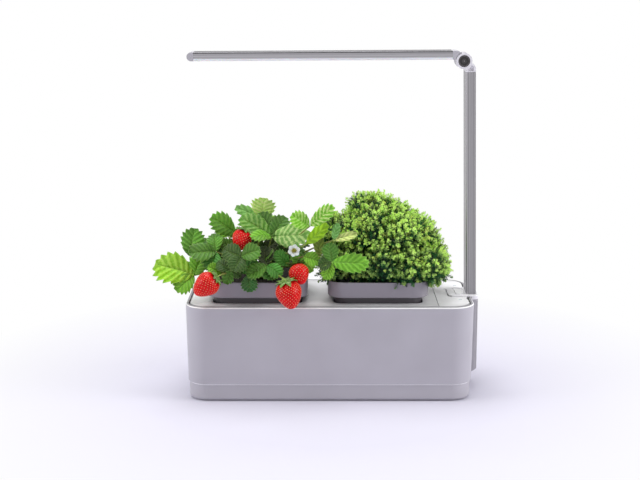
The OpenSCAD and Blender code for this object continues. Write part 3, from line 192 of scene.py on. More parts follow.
def new_group(name: str, inputs: dict[str, tuple[str, Any]],
              outputs: Sequence[str]) -> tuple[Graph, Any, bpy.types.Node]:
    """Starts a shader node group with named sockets.

    Args:
        name: The group's name.
        inputs: Socket name to its kind, such as Float, and its default.
        outputs: The names of the outputs, each a number.

    Returns:
        The group's graph, its inputs and its output node.
    """
    tree = bpy.data.node_groups.new(name, "ShaderNodeTree")
    for label, (kind, default) in inputs.items():
        socket = tree.interface.new_socket(label, in_out="INPUT", socket_type=f"NodeSocket{kind}")
        socket.default_value = default
    for label in outputs:
        tree.interface.new_socket(label, in_out="OUTPUT", socket_type="NodeSocketFloat")
    graph = Graph(tree)
    return graph, graph.add("NodeGroupInput").outputs, graph.add("NodeGroupOutput")


@cache
def grain_group() -> bpy.types.NodeTree:
    """Makes the fine spark-eroded texture of moulded plastic, with faint broad patches.

    Returns:
        A group that puts out Height and Patches.
    """
    scales = {"Grain Scale": ("Float", 2500.0), "Patch Scale": ("Float", 18.0)}
    graph, given, end = new_group("moulded_grain", scales, ("Height", "Patches"))
    place = graph.place()
    fine = graph.noise(place, given["Grain Scale"], 3.0)
    cells = graph.math("MULTIPLY", graph.cells(place, given["Grain Scale"]), 0.5)
    broad = graph.noise(place, given["Patch Scale"], 2.0)
    graph.feed(end, {"Height": graph.math("ADD", fine, cells), "Patches": graph.spread(broad, 0.3, 0.7)})
    return graph.tree


@cache
def brush_group() -> bpy.types.NodeTree:
    """Makes the long fine lines of drawn aluminium.

    Returns:
        A group that puts out Lines.
    """
    graph, given, end = new_group("drawn_lines", {"Stretch": ("Vector", (1.0, 1.0, 0.02))}, ("Lines",))
    stretched = graph.vector("MULTIPLY", graph.place(), given["Stretch"])
    graph.feed(end, {"Lines": graph.spread(graph.noise(stretched, 1800.0, 4.0), 0.3, 0.7)})
    return graph.tree


@cache
def leaf_group() -> bpy.types.NodeTree:
    """Draws a leaflet's veins from its UV map, where U counts the teeth and V runs from margin to margin.

    Returns:
        A group that puts out Vein, Swell, the height of the blade between the veins, and Margin.
    """
    graph, given, end = new_group("leaf_veins", {"Vein Width": ("Float", 0.1)}, ("Vein", "Swell", "Margin"))
    uv = graph.add("ShaderNodeUVMap", uv_map="UVMap").outputs[0]
    column = graph.math("MULTIPLY", graph.axis(uv, 0), float(TOOTH_COLUMNS))
    from_midrib = graph.math("ABSOLUTE", graph.math("SUBTRACT", graph.axis(uv, 1), 0.5))
    across = graph.math("MULTIPLY", from_midrib, 2.0)
    beside = graph.math("ABSOLUTE", graph.math("SUBTRACT", graph.math("FRACT", column), 0.5))
    taper = graph.math("SUBTRACT", 1.0, graph.math("MULTIPLY", across, 0.65))
    width = graph.math("MULTIPLY", given["Vein Width"], taper)
    side_vein = graph.math("SUBTRACT", 1.0, graph.math("DIVIDE", beside, width), clamp=True)
    midrib = graph.math("SUBTRACT", 1.0, graph.math("DIVIDE", across, 0.07), clamp=True)
    graph.feed(end, {
        "Vein": graph.math("MAXIMUM", side_vein, midrib),
        "Swell": graph.math("MULTIPLY", beside, 2.0),
        "Margin": graph.spread(across, 0.86, 1.0)})
    return graph.tree


# ---------------------------------------------------------------- finishes


@dataclass(frozen=True)
class Finish:
    """What every finish has: a name, and a material made on first use."""

    name: str

    def material(self) -> bpy.types.Material:
        """Returns the finish's material, and builds it the first time."""
        name = f"look_{self.name}"
        made = bpy.data.materials.get(name)
        if made is None:
            made = bpy.data.materials.new(name)
            made.use_nodes = True
            graph = Graph(made.node_tree)
            shader = graph.add("ShaderNodeBsdfPrincipled")
            graph.add("ShaderNodeOutputMaterial", {"Surface": shader.outputs[0]})
            graph.feed(shader, self.surface(graph))
        return made

    def surface(self, graph: Graph) -> dict[str, Any]:
        """Adds the finish's own nodes and returns the shader's inputs.

        Args:
            graph: The material's nodes.

        Returns:
            The shader's inputs, by name.
        """
        raise NotImplementedError


@dataclass(frozen=True)
class Plastic(Finish):
    """Moulded plastic with a fine grain; the sizes are fractions and metres."""

    colour: Colour
    roughness: float = 0.5
    grain: float = 0.00003
    patch: float = 0.05
    coat: float = 0.0
    subsurface: float = 0.0

    def surface(self, graph: Graph) -> dict[str, Any]:
        """Returns the patched colour, the roughness and the grain.

        Args:
            graph: The material's nodes.

        Returns:
            The shader's inputs, by name.
        """
        grain = graph.group(grain_group()).outputs
        patches = grain["Patches"]
        dark, light = shaded(self.colour, 1 - self.patch), shaded(self.colour, 1 + self.patch / 2)
        return {
            "Base Color": self.edged(graph, graph.mix(patches, dark, light)),
            "Roughness": graph.spread(patches, 0.0, 1.0, self.roughness * 0.94, self.roughness * 1.06),
            "Normal": graph.bump(grain["Height"], self.grain, 0.6),
            "Coat Weight": self.coat, "Coat Roughness": 0.08,
            "Subsurface Weight": self.subsurface, "Subsurface Scale": 0.002}

    def edged(self, graph: Graph, colour: Socket) -> Socket:
        """Returns the colour as it is; a finish with a marked edge changes it there."""
        return colour


@dataclass(frozen=True)
class CapGloss(Plastic):
    """A glossy round cap, seen along Y, with painted highlights; each ring has its two radii, in metres, and
    its colour.
    """

    middle: Point = (0.16069, 0.0, 0.40685)
    # Paler rings and a pale middle mark the cap's ring edges and screw with painted highlights.
    highlight_rings: tuple[tuple[float, float, Colour], ...] = (
        (0.0055, 0.0062, rgb(96, 90, 94)), (0.0018, 0.0026, rgb(70, 66, 68)),
        (0.0, 0.0007, rgb(150, 146, 146)))

    def edged(self, graph: Graph, colour: Socket) -> Socket:
        """Draws the rings and the pale middle, painted highlights on the cap's ring edges and screw, by their
        distance from the axis.

        Args:
            graph: The material's nodes.
            colour: The finish's plain colour.

        Returns:
            The changed colour.
        """
        flat = graph.vector("MULTIPLY", graph.place(), (1.0, 0.0, 1.0))
        reach = graph.vector("DISTANCE", flat, self.middle, out="Value")
        for low, high, tone in self.highlight_rings:
            colour = graph.mix(graph.between(reach, low, high), colour, tone)
        return colour


@dataclass(frozen=True)
class RimPlastic(Plastic):
    """Plastic with a line of another colour between two heights, which are metres, and a painted shade above
    it.
    """

    line: Colour = PURE_WHITE
    low: float = 0.1168
    high: float = 0.1178
    above: float = 0.62
    soft: float = HARD_EDGE

    def edged(self, graph: Graph, colour: Socket) -> Socket:
        """Mixes in the line's colour, and paints shade on what is above it.

        Args:
            graph: The material's nodes.
            colour: The finish's plain colour.

        Returns:
            The changed colour.
        """
        height = graph.axis(graph.place(), 2)
        # On the shell the line is a painted highlight on the rim's rounded top edge, and the shade above it
        # is painted shade by the gap to the lid.
        lined = graph.mix(graph.spread(height, self.low - self.soft, self.low + self.soft), colour, self.line)
        over = graph.spread(height, self.high - HARD_EDGE, self.high + HARD_EDGE)
        return graph.mix(over, lined, shaded(self.colour, self.above))


@dataclass(frozen=True)
class LidPlastic(Plastic):
    """Plastic of an oblong top with a line of painted shade along its outline and painted shade towards its
    front and back, in metres.
    """

    half: tuple[float, float] = (0.175, 0.075)
    corner: float = 0.027
    margin: float = 0.0066
    margin_soft: float = 0.0008
    margin_shade: float = 0.3
    front_back_shade_band: tuple[float, float] = (0.052, 0.068)
    front_back_shade: float = 0.66

    def edged(self, graph: Graph, colour: Socket) -> Socket:
        """Paints shade towards the front and back, and along the line inside the oblong's outline.

        Args:
            graph: The material's nodes.
            colour: The finish's plain colour.

        Returns:
            The changed colour.
        """
        folded = graph.vector("ABSOLUTE", graph.vector("MULTIPLY", graph.place(), (1.0, 1.0, 0.0)))
        inner = (self.half[0] - self.corner, self.half[1] - self.corner, 0.0)
        beyond = graph.vector("MAXIMUM", graph.vector("SUBTRACT", folded, inner))
        reach = graph.vector("LENGTH", beyond, out="Value")
        start = self.corner - self.margin
        depth = graph.axis(folded, 1)
        # Painted shade: darker towards the front and back edges, as if the top sloped down to them, and a
        # dark line at the gap round the outline.
        front_back_shaded = graph.mix(graph.spread(depth, *self.front_back_shade_band), colour, shaded(self.colour, self.front_back_shade))
        near = graph.spread(reach, start, start + self.margin_soft)
        return graph.mix(near, front_back_shaded, shaded(self.colour, self.margin_shade))


@dataclass(frozen=True)
class Metal(Finish):
    """Drawn or turned metal with fine lines along its length."""

    colour: Colour
    stretch: Point = (1.0, 1.0, 0.02)
    roughness: float = 0.36
    metallic: float = 0.9

    def surface(self, graph: Graph) -> dict[str, Any]:
        """Returns the colour, roughness and bump that follow the lines.

        Args:
            graph: The material's nodes.

        Returns:
            The shader's inputs, by name.
        """
        lines = graph.group(brush_group(), {"Stretch": self.stretch}).outputs["Lines"]
        colour = graph.mix(lines, shaded(self.colour, 0.93), shaded(self.colour, 1.04))
        return {
            "Base Color": self.banded(graph, colour),
            "Roughness": graph.spread(lines, 0.0, 1.0, self.roughness * 0.85, self.roughness * 1.15),
            "Normal": graph.bump(lines, 0.00002, 0.4),
            "Metallic": self.metallic}

    def banded(self, graph: Graph, colour: Socket) -> Socket:
        """Returns the colour as it is; a profile with bands of painted shade along it changes it there."""
        return colour


@dataclass(frozen=True)
class ProfileMetal(Metal):
    """The metal of an extrusion with darker and lighter bands of painted shade and painted light along it.

    Each band has its ends, in metres along the across direction from the offset, and its shade. Bands show
    only further than depth from the middle plane, so that they stay on the front and back faces.
    """

    across: Point = (0.0, 0.0, 1.0)
    offset: float = 0.0
    depth: float = 0.0
    shade_bands: tuple[Point, ...] = ()

    def banded(self, graph: Graph, colour: Socket) -> Socket:
        """Multiplies the colour by each band's shade.

        Args:
            graph: The material's nodes.
            colour: The finish's plain colour.

        Returns:
            The changed colour.
        """
        place = graph.place()
        along = graph.vector("DOT_PRODUCT", place, self.across, out="Value")
        value = graph.math("SUBTRACT", along, self.offset)
        shown = graph.math("GREATER_THAN", graph.math("ABSOLUTE", graph.axis(place, 1)), self.depth)
        for low, high, shade in self.shade_bands:
            inside = graph.math("MULTIPLY", graph.between(value, low, high), shown)
            colour = graph.mix(inside, colour, shaded(PURE_WHITE, shade), "MULTIPLY")
        return colour


@dataclass(frozen=True)
class LeafSkin(Finish):
    """A leaf's skin: its colour comes from the mesh, its veins from the UV map.

    furrow_shade is painted shade on the blade next to its veins, ridge is a painted highlight that tints it
    between them, and sheen_stripe, a pale painted sheen, shows there on leaves whose mesh colour asks for it.
    An underside takes half of its colour from back.
    """

    vein: Colour
    vein_strength: float = 0.3
    underside: bool = False
    roughness: float = 0.46
    back: Colour = rgb(150, 180, 110)
    furrow_shade: Colour = rgb(205, 216, 190)
    ridge: Colour = rgb(222, 236, 150)
    sheen_stripe: Colour = rgb(222, 236, 160)

    def surface(self, graph: Graph) -> dict[str, Any]:
        """Paints shade into the furrows, paints light on the blade between them and draws the veins.

        Args:
            graph: The material's nodes.

        Returns:
            The shader's inputs, by name.
        """
        mesh = graph.add("ShaderNodeVertexColor", layer_name="tone").outputs
        own = graph.mix(0.5, mesh["Color"], self.back) if self.underside else mesh["Color"]
        veins = graph.group(leaf_group()).outputs
        spots = graph.noise(graph.place(), 320.0, 3.0)
        # Painted shade in the furrows, a painted highlight on the ridges between them, and a pale painted
        # sheen on striped leaves.
        furrow_shade = graph.mix(1.0, own, self.furrow_shade, "MULTIPLY")
        ridge = graph.mix(0.07, own, self.ridge)
        broken = graph.math("ADD", veins["Swell"], graph.spread(spots, 0.3, 0.7, -0.5, 0.5))
        blade = graph.mix(graph.spread(broken, 0.1, 0.8), furrow_shade, ridge)
        deep_own = graph.mix(1.0, own, own, "MULTIPLY")
        blade = graph.mix(graph.spread(spots, 0.4, 0.7, 0.0, 0.3), blade, deep_own)
        striped = graph.math("MULTIPLY", graph.spread(broken, 0.3, 0.9), mesh["Alpha"])
        pale = graph.mix(striped, blade, self.sheen_stripe)
        vein = graph.math("MULTIPLY", veins["Vein"], self.vein_strength)
        lined = graph.mix(vein, pale, graph.mix(0.6, own, self.vein))
        swelling = graph.math("MULTIPLY", veins["Swell"], 0.7)
        height = graph.math("ADD", swelling, graph.math("MULTIPLY", spots, 0.35))
        return {
            "Base Color": graph.mix(graph.math("MULTIPLY", veins["Margin"], 0.22), lined, self.vein),
            "Normal": graph.bump(height, 0.0004, 0.7),
            "Roughness": self.roughness + (0.2 if self.underside else 0.0), "Specular IOR Level": 0.2,
            "Subsurface Weight": 0.1, "Subsurface Radius": LEAF_GLOW, "Subsurface Scale": 0.002}


@dataclass(frozen=True)
class Sprig(Finish):
    """The herb's skin: fresh at the tips and top, blue-green lower down and in cloudy patches, which is
    partly young growth and partly painted light and shade; low and high are metres.

    across and clouds each map a range to a share of freshness: the first from X, in metres, as painted light
    that pales the right side, and the second from a cloudy pattern.
    """

    fresh: Colour
    deep: Colour
    low: float
    high: float
    tip: Colour = rgb(214, 206, 84)
    across: tuple[float, ...] = (0.05, 0.14, -0.34, -0.1)
    clouds: tuple[float, ...] = (0.32, 0.68, -0.26, 0.3)

    def surface(self, graph: Graph) -> dict[str, Any]:
        """Mixes the colours by height and by X, as painted light and shade, by patches, and by each leaf's
        own shade and place on its sprig.

        Args:
            graph: The material's nodes.

        Returns:
            The shader's inputs, by name.
        """
        place = graph.place()
        height = graph.math("POWER", graph.spread(graph.axis(place, 2), self.low, self.high), 0.5)
        shade = graph.attribute("shade")
        along = graph.add("ShaderNodeVertexColor", layer_name="tone").outputs["Color"]
        # Painted light and shade: paler higher up and towards the right, blue-green low down; the pale tips
        # are partly young growth.
        mix = graph.math("ADD", graph.math("MULTIPLY", along, 0.62), graph.math("MULTIPLY", height, 0.95))
        mix = graph.math("ADD", mix, graph.spread(graph.axis(place, 0), *self.across))
        mix = graph.math("ADD", mix, graph.spread(graph.noise(place, 34.0, 2.0), *self.clouds))
        varied = graph.math("MULTIPLY", graph.math("SUBTRACT", shade, 0.55), 0.4)
        mix = graph.math("ADD", mix, varied, clamp=True)
        tipped = graph.mix(mix, self.deep, self.tip)
        return {
            "Base Color": graph.mix(graph.spread(shade, 0.82, 1.0, 0.0, 0.35),
                                    graph.mix(mix, self.deep, self.fresh), tipped),
            "Roughness": 0.5, "Specular IOR Level": 0.3,
            "Subsurface Weight": 0.08, "Subsurface Radius": LEAF_GLOW, "Subsurface Scale": 0.002}


@dataclass(frozen=True)
class FruitSkin(Finish):
    """A ripe strawberry's skin, paler on the shoulders and glossy all over."""

    ripe: Colour
    pale: Colour

    def surface(self, graph: Graph) -> dict[str, Any]:
        """Mixes the clouded ripe colour and the pale one by the mesh's own ripeness, and paints shade into
        the pits.

        Args:
            graph: The material's nodes.

        Returns:
            The shader's inputs, by name.
        """
        cloud = graph.noise(graph.place(), 180.0, 3.0)
        clouded = graph.mix(graph.spread(cloud, 0.35, 0.65), shaded(self.ripe, 0.75), self.ripe)
        skin = graph.mix(graph.attribute("ripeness"), self.pale, clouded)
        # Painted shade: the seed pits turn a darker red.
        pit = graph.math("MULTIPLY", graph.attribute("pit"), 0.6)
        return {
            "Base Color": graph.mix(pit, skin, shaded(self.ripe, 0.3)),
            "Normal": graph.bump(cloud, 0.0002, 0.35),
            "Roughness": 0.3, "Specular IOR Level": 0.1, "Coat Weight": 0.22, "Coat Roughness": 0.06,
            "Subsurface Weight": 0.06, "Subsurface Radius": (1.0, 0.2, 0.1), "Subsurface Scale": 0.003}


@dataclass(frozen=True)
class Stem(Finish):
    """A plant stem: green, with streaks of a second colour, and a little rough."""

    green: Colour
    flush: Colour

    def surface(self, graph: Graph) -> dict[str, Any]:
        """Mixes green and flush in streaks.

        Args:
            graph: The material's nodes.

        Returns:
            The shader's inputs, by name.
        """
        streak = graph.noise(graph.place(), 60.0, 4.0)
        return {
            "Base Color": graph.mix(graph.spread(streak, 0.48, 0.68, 0.0, 0.8), self.green, self.flush),
            "Normal": graph.bump(streak, 0.0002, 0.5), "Roughness": 0.5}


@dataclass(frozen=True)
class Loose(Finish):
    """Rough open matter, such as growing sponge; depth is the pits' depth in metres."""

    light: Colour
    dark: Colour
    scale: float = 500.0
    depth: float = 0.0012

    def surface(self, graph: Graph) -> dict[str, Any]:
        """Mixes the colours by a pitted pattern that also drives the bump.

        Args:
            graph: The material's nodes.

        Returns:
            The shader's inputs, by name.
        """
        place = graph.place()
        rough = graph.noise(place, self.scale / 3, 5.0)
        height = graph.math("MULTIPLY", graph.cells(place, self.scale), rough)
        return {
            "Base Color": graph.mix(graph.spread(height, 0.1, 0.45), self.dark, self.light),
            "Normal": graph.bump(height, self.depth, 0.9), "Roughness": 0.85}


# Painted highlight: the white line along the rim's rounded top edge; painted shade: the darker rim top above
# it.
SHELL = RimPlastic("shell_plastic", rgb(185, 182, 191), roughness=0.42)
BASE = RimPlastic("base_plastic", rgb(186, 183, 191), roughness=0.45, line=rgb(250, 249, 252), low=0.0205,
                  high=0.0222, above=1.0)
# The lid and the panel carry painted shade along their outlines and towards their front and back edges.
LID = LidPlastic("lid_plastic", rgb(243, 242, 245), roughness=0.38)
PANEL = LidPlastic("panel_plastic", rgb(247, 246, 249), roughness=0.35)
# Painted shade: the pot is dark below its collar, where the collar shades its neck; from the collar up it has
# its own grey.
POT = RimPlastic("pot_plastic", rgb(74, 70, 76), roughness=0.36, line=rgb(146, 141, 151), low=0.1256,
                 high=1.0, soft=0.001)
BRACKET = RimPlastic("bracket_plastic", rgb(166, 163, 170), roughness=0.35, line=rgb(236, 234, 239),
                     low=0.1150, high=1.0)
COVER = Plastic("cover_plastic", rgb(146, 143, 150), roughness=0.45)
BUTTON = Plastic("button_plastic", rgb(240, 239, 243), roughness=0.25, coat=0.3)
HEAD = Plastic("head_plastic", rgb(232, 230, 236), roughness=0.34)
FITTING = Plastic("fitting_plastic", rgb(186, 184, 191), roughness=0.34)
CAP = CapGloss("cap_gloss", rgb(12, 10, 12), roughness=0.2, grain=0.00001, coat=0.15)
DIFFUSER = Plastic("diffuser_milky", rgb(244, 244, 248), roughness=0.45, subsurface=0.2)
LENS = Plastic("lens_clear", rgb(205, 222, 236), roughness=0.12, grain=0.00001, coat=0.5)
RUBBER = Plastic("ring_rubber", rgb(45, 45, 48), roughness=0.8, grain=0.00008)
TUB = Plastic("tank_plastic", rgb(90, 92, 98), roughness=0.45)
PUMP = Plastic("pump_black", rgb(38, 39, 43), roughness=0.5)
GRILLE = Plastic("grille_grey", rgb(62, 64, 70), roughness=0.5)
WHITE = Plastic("part_white", rgb(226, 226, 222), roughness=0.5)
FLOAT = Plastic("float_orange", rgb(226, 130, 48), roughness=0.6, grain=0.0001)
BOARD = Plastic("board_green", rgb(28, 96, 60), roughness=0.35, coat=0.4)
CHIP = Plastic("chip_black", rgb(30, 30, 33), roughness=0.6)
HOSE = Plastic("hose_grey", rgb(120, 121, 126), roughness=0.4, coat=0.2)
BOX = Plastic("box_grey", rgb(205, 205, 209), roughness=0.5)
LED = Plastic("led_phosphor", rgb(240, 214, 90), roughness=0.2, coat=0.6)
# Painted shade in the pole's front and back grooves and along its right edge.
POLE = ProfileMetal("pole_aluminium", rgb(160, 158, 163), stretch=(1.0, 1.0, 0.01), across=(1.0, 0.0, 0.0227),
                    offset=0.17783, depth=0.0132,
                    shade_bands=((-0.0036, -0.0024, 0.78), (-0.0006, 0.0006, 0.86), (0.0020, 0.0034, 0.82),
                           (0.0044, 0.0050, 0.8), (0.0050, 0.0080, 0.36)))
# Painted shade in the bar's fine grooves, a dark line along the top of its front and a darker top face.
BAR = ProfileMetal("bar_aluminium", rgb(172, 170, 176), stretch=(0.01, 1.0, 1.0), across=(-0.0061, 0.0, 1.0),
                   offset=0.40587,
                   shade_bands=((0.0059, 0.0066, 0.8), (0.0083, 0.0089, 0.85), (0.0089, 0.0098, 0.8),
                          (0.0098, 0.0108, 0.75), (0.0108, 0.0119, 0.06), (0.0119, 0.0150, 0.5)))
STEEL = Metal("screw_steel", rgb(190, 190, 192), stretch=(1.0, 1.0, 1.0), roughness=0.3)
BRASS = Metal("contact_brass", rgb(214, 180, 110), stretch=(1.0, 1.0, 1.0), roughness=0.25)
LEAF_TOP = LeafSkin("leaf_upper", rgb(190, 220, 130))
LEAF_BACK = LeafSkin("leaf_under", rgb(190, 205, 150), vein_strength=0.7, underside=True)
STALK = Stem("stalk_green", rgb(140, 160, 70), rgb(120, 60, 50))
HERB_STEM = Stem("herb_stem", rgb(120, 150, 70), rgb(90, 80, 50))
SPRIG = Sprig("herb_leaf", rgb(222, 255, 140), rgb(42, 106, 58), 0.150, 0.240)
# A darker copy of the sprig skin: painted shade for the heart and the sprigs deep inside the bush.
SHADED_HEART = Sprig("herb_heart", rgb(40, 108, 50), rgb(8, 42, 26), 0.140, 0.280)
FRUIT = FruitSkin("berry_skin", rgb(238, 4, 14), rgb(238, 40, 26))
SEED = Plastic("berry_seed", rgb(244, 150, 104), roughness=0.35)
PETAL = Plastic("petal_white", rgb(250, 250, 246), roughness=0.55, grain=0.0001, subsurface=0.2)
POLLEN = Loose("flower_middle", rgb(226, 206, 60), rgb(150, 160, 40), scale=1800.0, depth=0.0006)
SPONGE = Loose("sponge_dark", rgb(52, 40, 30), rgb(14, 10, 8))


# ---------------------------------------------------------------- meshes


@dataclass
class Skin:
    """Gathers the points, faces, UV places and colours of one mesh; the points are in millimetres."""

    points: list[Vector] = field(default_factory=list)
    faces: list[tuple[int, ...]] = field(default_factory=list)
    uvs: list[tuple[float, float]] = field(default_factory=list)
    tones: list[Colour] = field(default_factory=list)

    def point(self, place: Vector, uv: tuple[float, float] = (0.0, 0.0), tone: Colour = PLAIN_TONE) -> int:
        """Adds a point.

        Args:
            place: Where it is.
            uv: Its place in the UV map.
            tone: Its colour.

        Returns:
            Its number.
        """
        self.points.append(place)
        self.uvs.append(uv)
        self.tones.append(tone)
        return len(self.points) - 1

    def grid(self, rows: Sequence[Sequence[int]], closed: bool = False) -> None:
        """Joins rows of points with four-sided faces.

        Args:
            rows: Point numbers, row by row, each row equally long.
            closed: True where each row's last point joins its first.
        """
        for low, high in zip(rows, rows[1:]):
            for i in range(len(low) - (0 if closed else 1)):
                k = (i + 1) % len(low)
                self.faces.append((low[i], low[k], high[k], high[i]))

    def tube(self, path: Sequence[Vector], radii: Sequence[float], sides: int,
             tone: Colour = PLAIN_TONE) -> None:
        """Adds a closed tube along a path.

        Args:
            path: The points along its middle.
            radii: The radius at each of them.
            sides: How many sides it has.
            tone: Its colour.
        """
        across = (path[1] - path[0]).orthogonal().normalized()
        rows = []
        for i, place in enumerate(path):
            ahead = (path[min(i + 1, len(path) - 1)] - path[max(i - 1, 0)]).normalized()
            across = (across - ahead * across.dot(ahead)).normalized()
            other = ahead.cross(across)
            turns = [2 * math.pi * k / sides for k in range(sides)]
            rows.append([self.point(place + (across * math.cos(a) + other * math.sin(a)) * radii[i],
                                    (k / sides, i / len(path)), tone) for k, a in enumerate(turns)])
        self.grid(rows, closed=True)
        self.faces.append(tuple(reversed(rows[0])))
        self.faces.append(tuple(rows[-1]))

    def build(self, name: str, finishes: Sequence[Finish], smooth: bool = True) -> bpy.types.Object:
        """Makes the object.

        Args:
            name: The piece's name.
            finishes: Its materials.
            smooth: True for smooth shading.

        Returns:
            The new object, at the origin.
        """
        mesh = bpy.data.meshes.new(name)
        mesh.from_pydata([p * MM for p in self.points], [], self.faces)
        layer = mesh.uv_layers.new(name="UVMap")
        corners = [0] * len(mesh.loops)
        mesh.loops.foreach_get("vertex_index", corners)
        layer.data.foreach_set("uv", [value for c in corners for value in self.uvs[c]])
        tone = mesh.color_attributes.new("tone", "FLOAT_COLOR", "POINT")
        tone.data.foreach_set("color", [value for colour in self.tones for value in colour])
        mesh.polygons.foreach_set("use_smooth", [smooth] * len(mesh.polygons))
        mesh.update()
        coat(mesh, *finishes)
        return add_object(name, mesh)


def add_object(name: str, data: bpy.types.ID) -> bpy.types.Object:
    """Makes an object at the origin, links it into the scene and returns it."""
    made = bpy.data.objects.new(name, data)
    bpy.context.scene.collection.objects.link(made)
    return made


def coat(mesh: bpy.types.Mesh, *finishes: Finish) -> None:
    """Gives a mesh its materials, in place of any that it has."""
    mesh.materials.clear()
    for finish in finishes:
        mesh.materials.append(finish.material())


def dress(finish: Finish, *nodes: str) -> None:
    """Gives nodes of the frame a finish."""
    for node in nodes:
        coat(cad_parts[node].data, finish)
        log.info("%s is dressed in %s", node, finish.name)


def settle(piece: bpy.types.Object, body: str, slot: str, *stands_for: str) -> None:
    """Rides a piece on a body and hides the nodes that it stands for.

    Args:
        piece: The piece.
        body: The body that carries it.
        slot: The material slot that it takes its finish from; not used.
        *stands_for: The nodes that it replaces.
    """
    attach(piece, body)
    if stands_for:
        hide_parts(*stands_for)
    log.info("%s rides on %s with %d faces", piece.name, body, len(piece.data.polygons))


def thicken(piece: bpy.types.Object, thickness: float, backs: int = 1) -> None:
    """Gives thin blades their thickness, downwards from their upper sides.

    Args:
        piece: The piece, whose faces are the upper sides.
        thickness: In millimetres.
        backs: How many places after the upper side's material the underside's comes.
    """
    shell = piece.modifiers.new("thickness", "SOLIDIFY")
    shell.thickness = thickness * MM
    shell.offset = -1.0
    shell.material_offset = backs


def plain_mesh(piece: bpy.types.Object, name: str) -> bpy.types.Mesh:
    """Copies a piece's mesh with its modifiers worked in.

    Args:
        piece: The piece, which keeps its modifiers.
        name: The new mesh's name.

    Returns:
        The new mesh.
    """
    bpy.context.view_layer.update()
    mesh = bpy.data.meshes.new_from_object(piece.evaluated_get(bpy.context.evaluated_depsgraph_get()))
    mesh.name = name
    return mesh


def bend(start: Vector, end: Vector, rise: float, steps: int = 10) -> list[Vector]:
    """Returns points on an arc from start to end that leaves the start steeply.

    Args:
        start: First point, in millimetres.
        end: Last point.
        rise: How far the middle bows upwards.
        steps: How many stretches it has.

    Returns:
        The points, both ends included.
    """
    middle = start.lerp(end, 0.45) + Vector((0, 0, rise))
    return [start.lerp(middle, t).lerp(middle.lerp(end, t), t) for t in (i / steps for i in range(steps + 1))]


def around(angle: float, reach: float = 1.0, height: float = 0.0) -> Vector:
    """Returns the point at an angle round the Z axis, a reach out from it and at a height."""
    return Vector((reach * math.cos(angle), reach * math.sin(angle), height))


def sideways(out: Vector) -> Vector:
    """Returns the level direction square to another level one."""
    return Vector((-out.y, out.x, 0))


def tilted(place: Point, heading: float, lean: float, axis: str) -> Matrix:
    """Returns the frame at a place that is leant about an axis and then turned about Z, in degrees."""
    turn = Matrix.Rotation(math.radians(heading), 4, "Z")
    return Matrix.Translation(place) @ turn @ Matrix.Rotation(math.radians(lean), 4, axis)


# ---------------------------------------------------------------- geometry nodes


class Placing(Enum):
    """Where a geometry tree puts its copies."""

    SCATTER = "scattered over faces"
    POINTS = "one on each point"


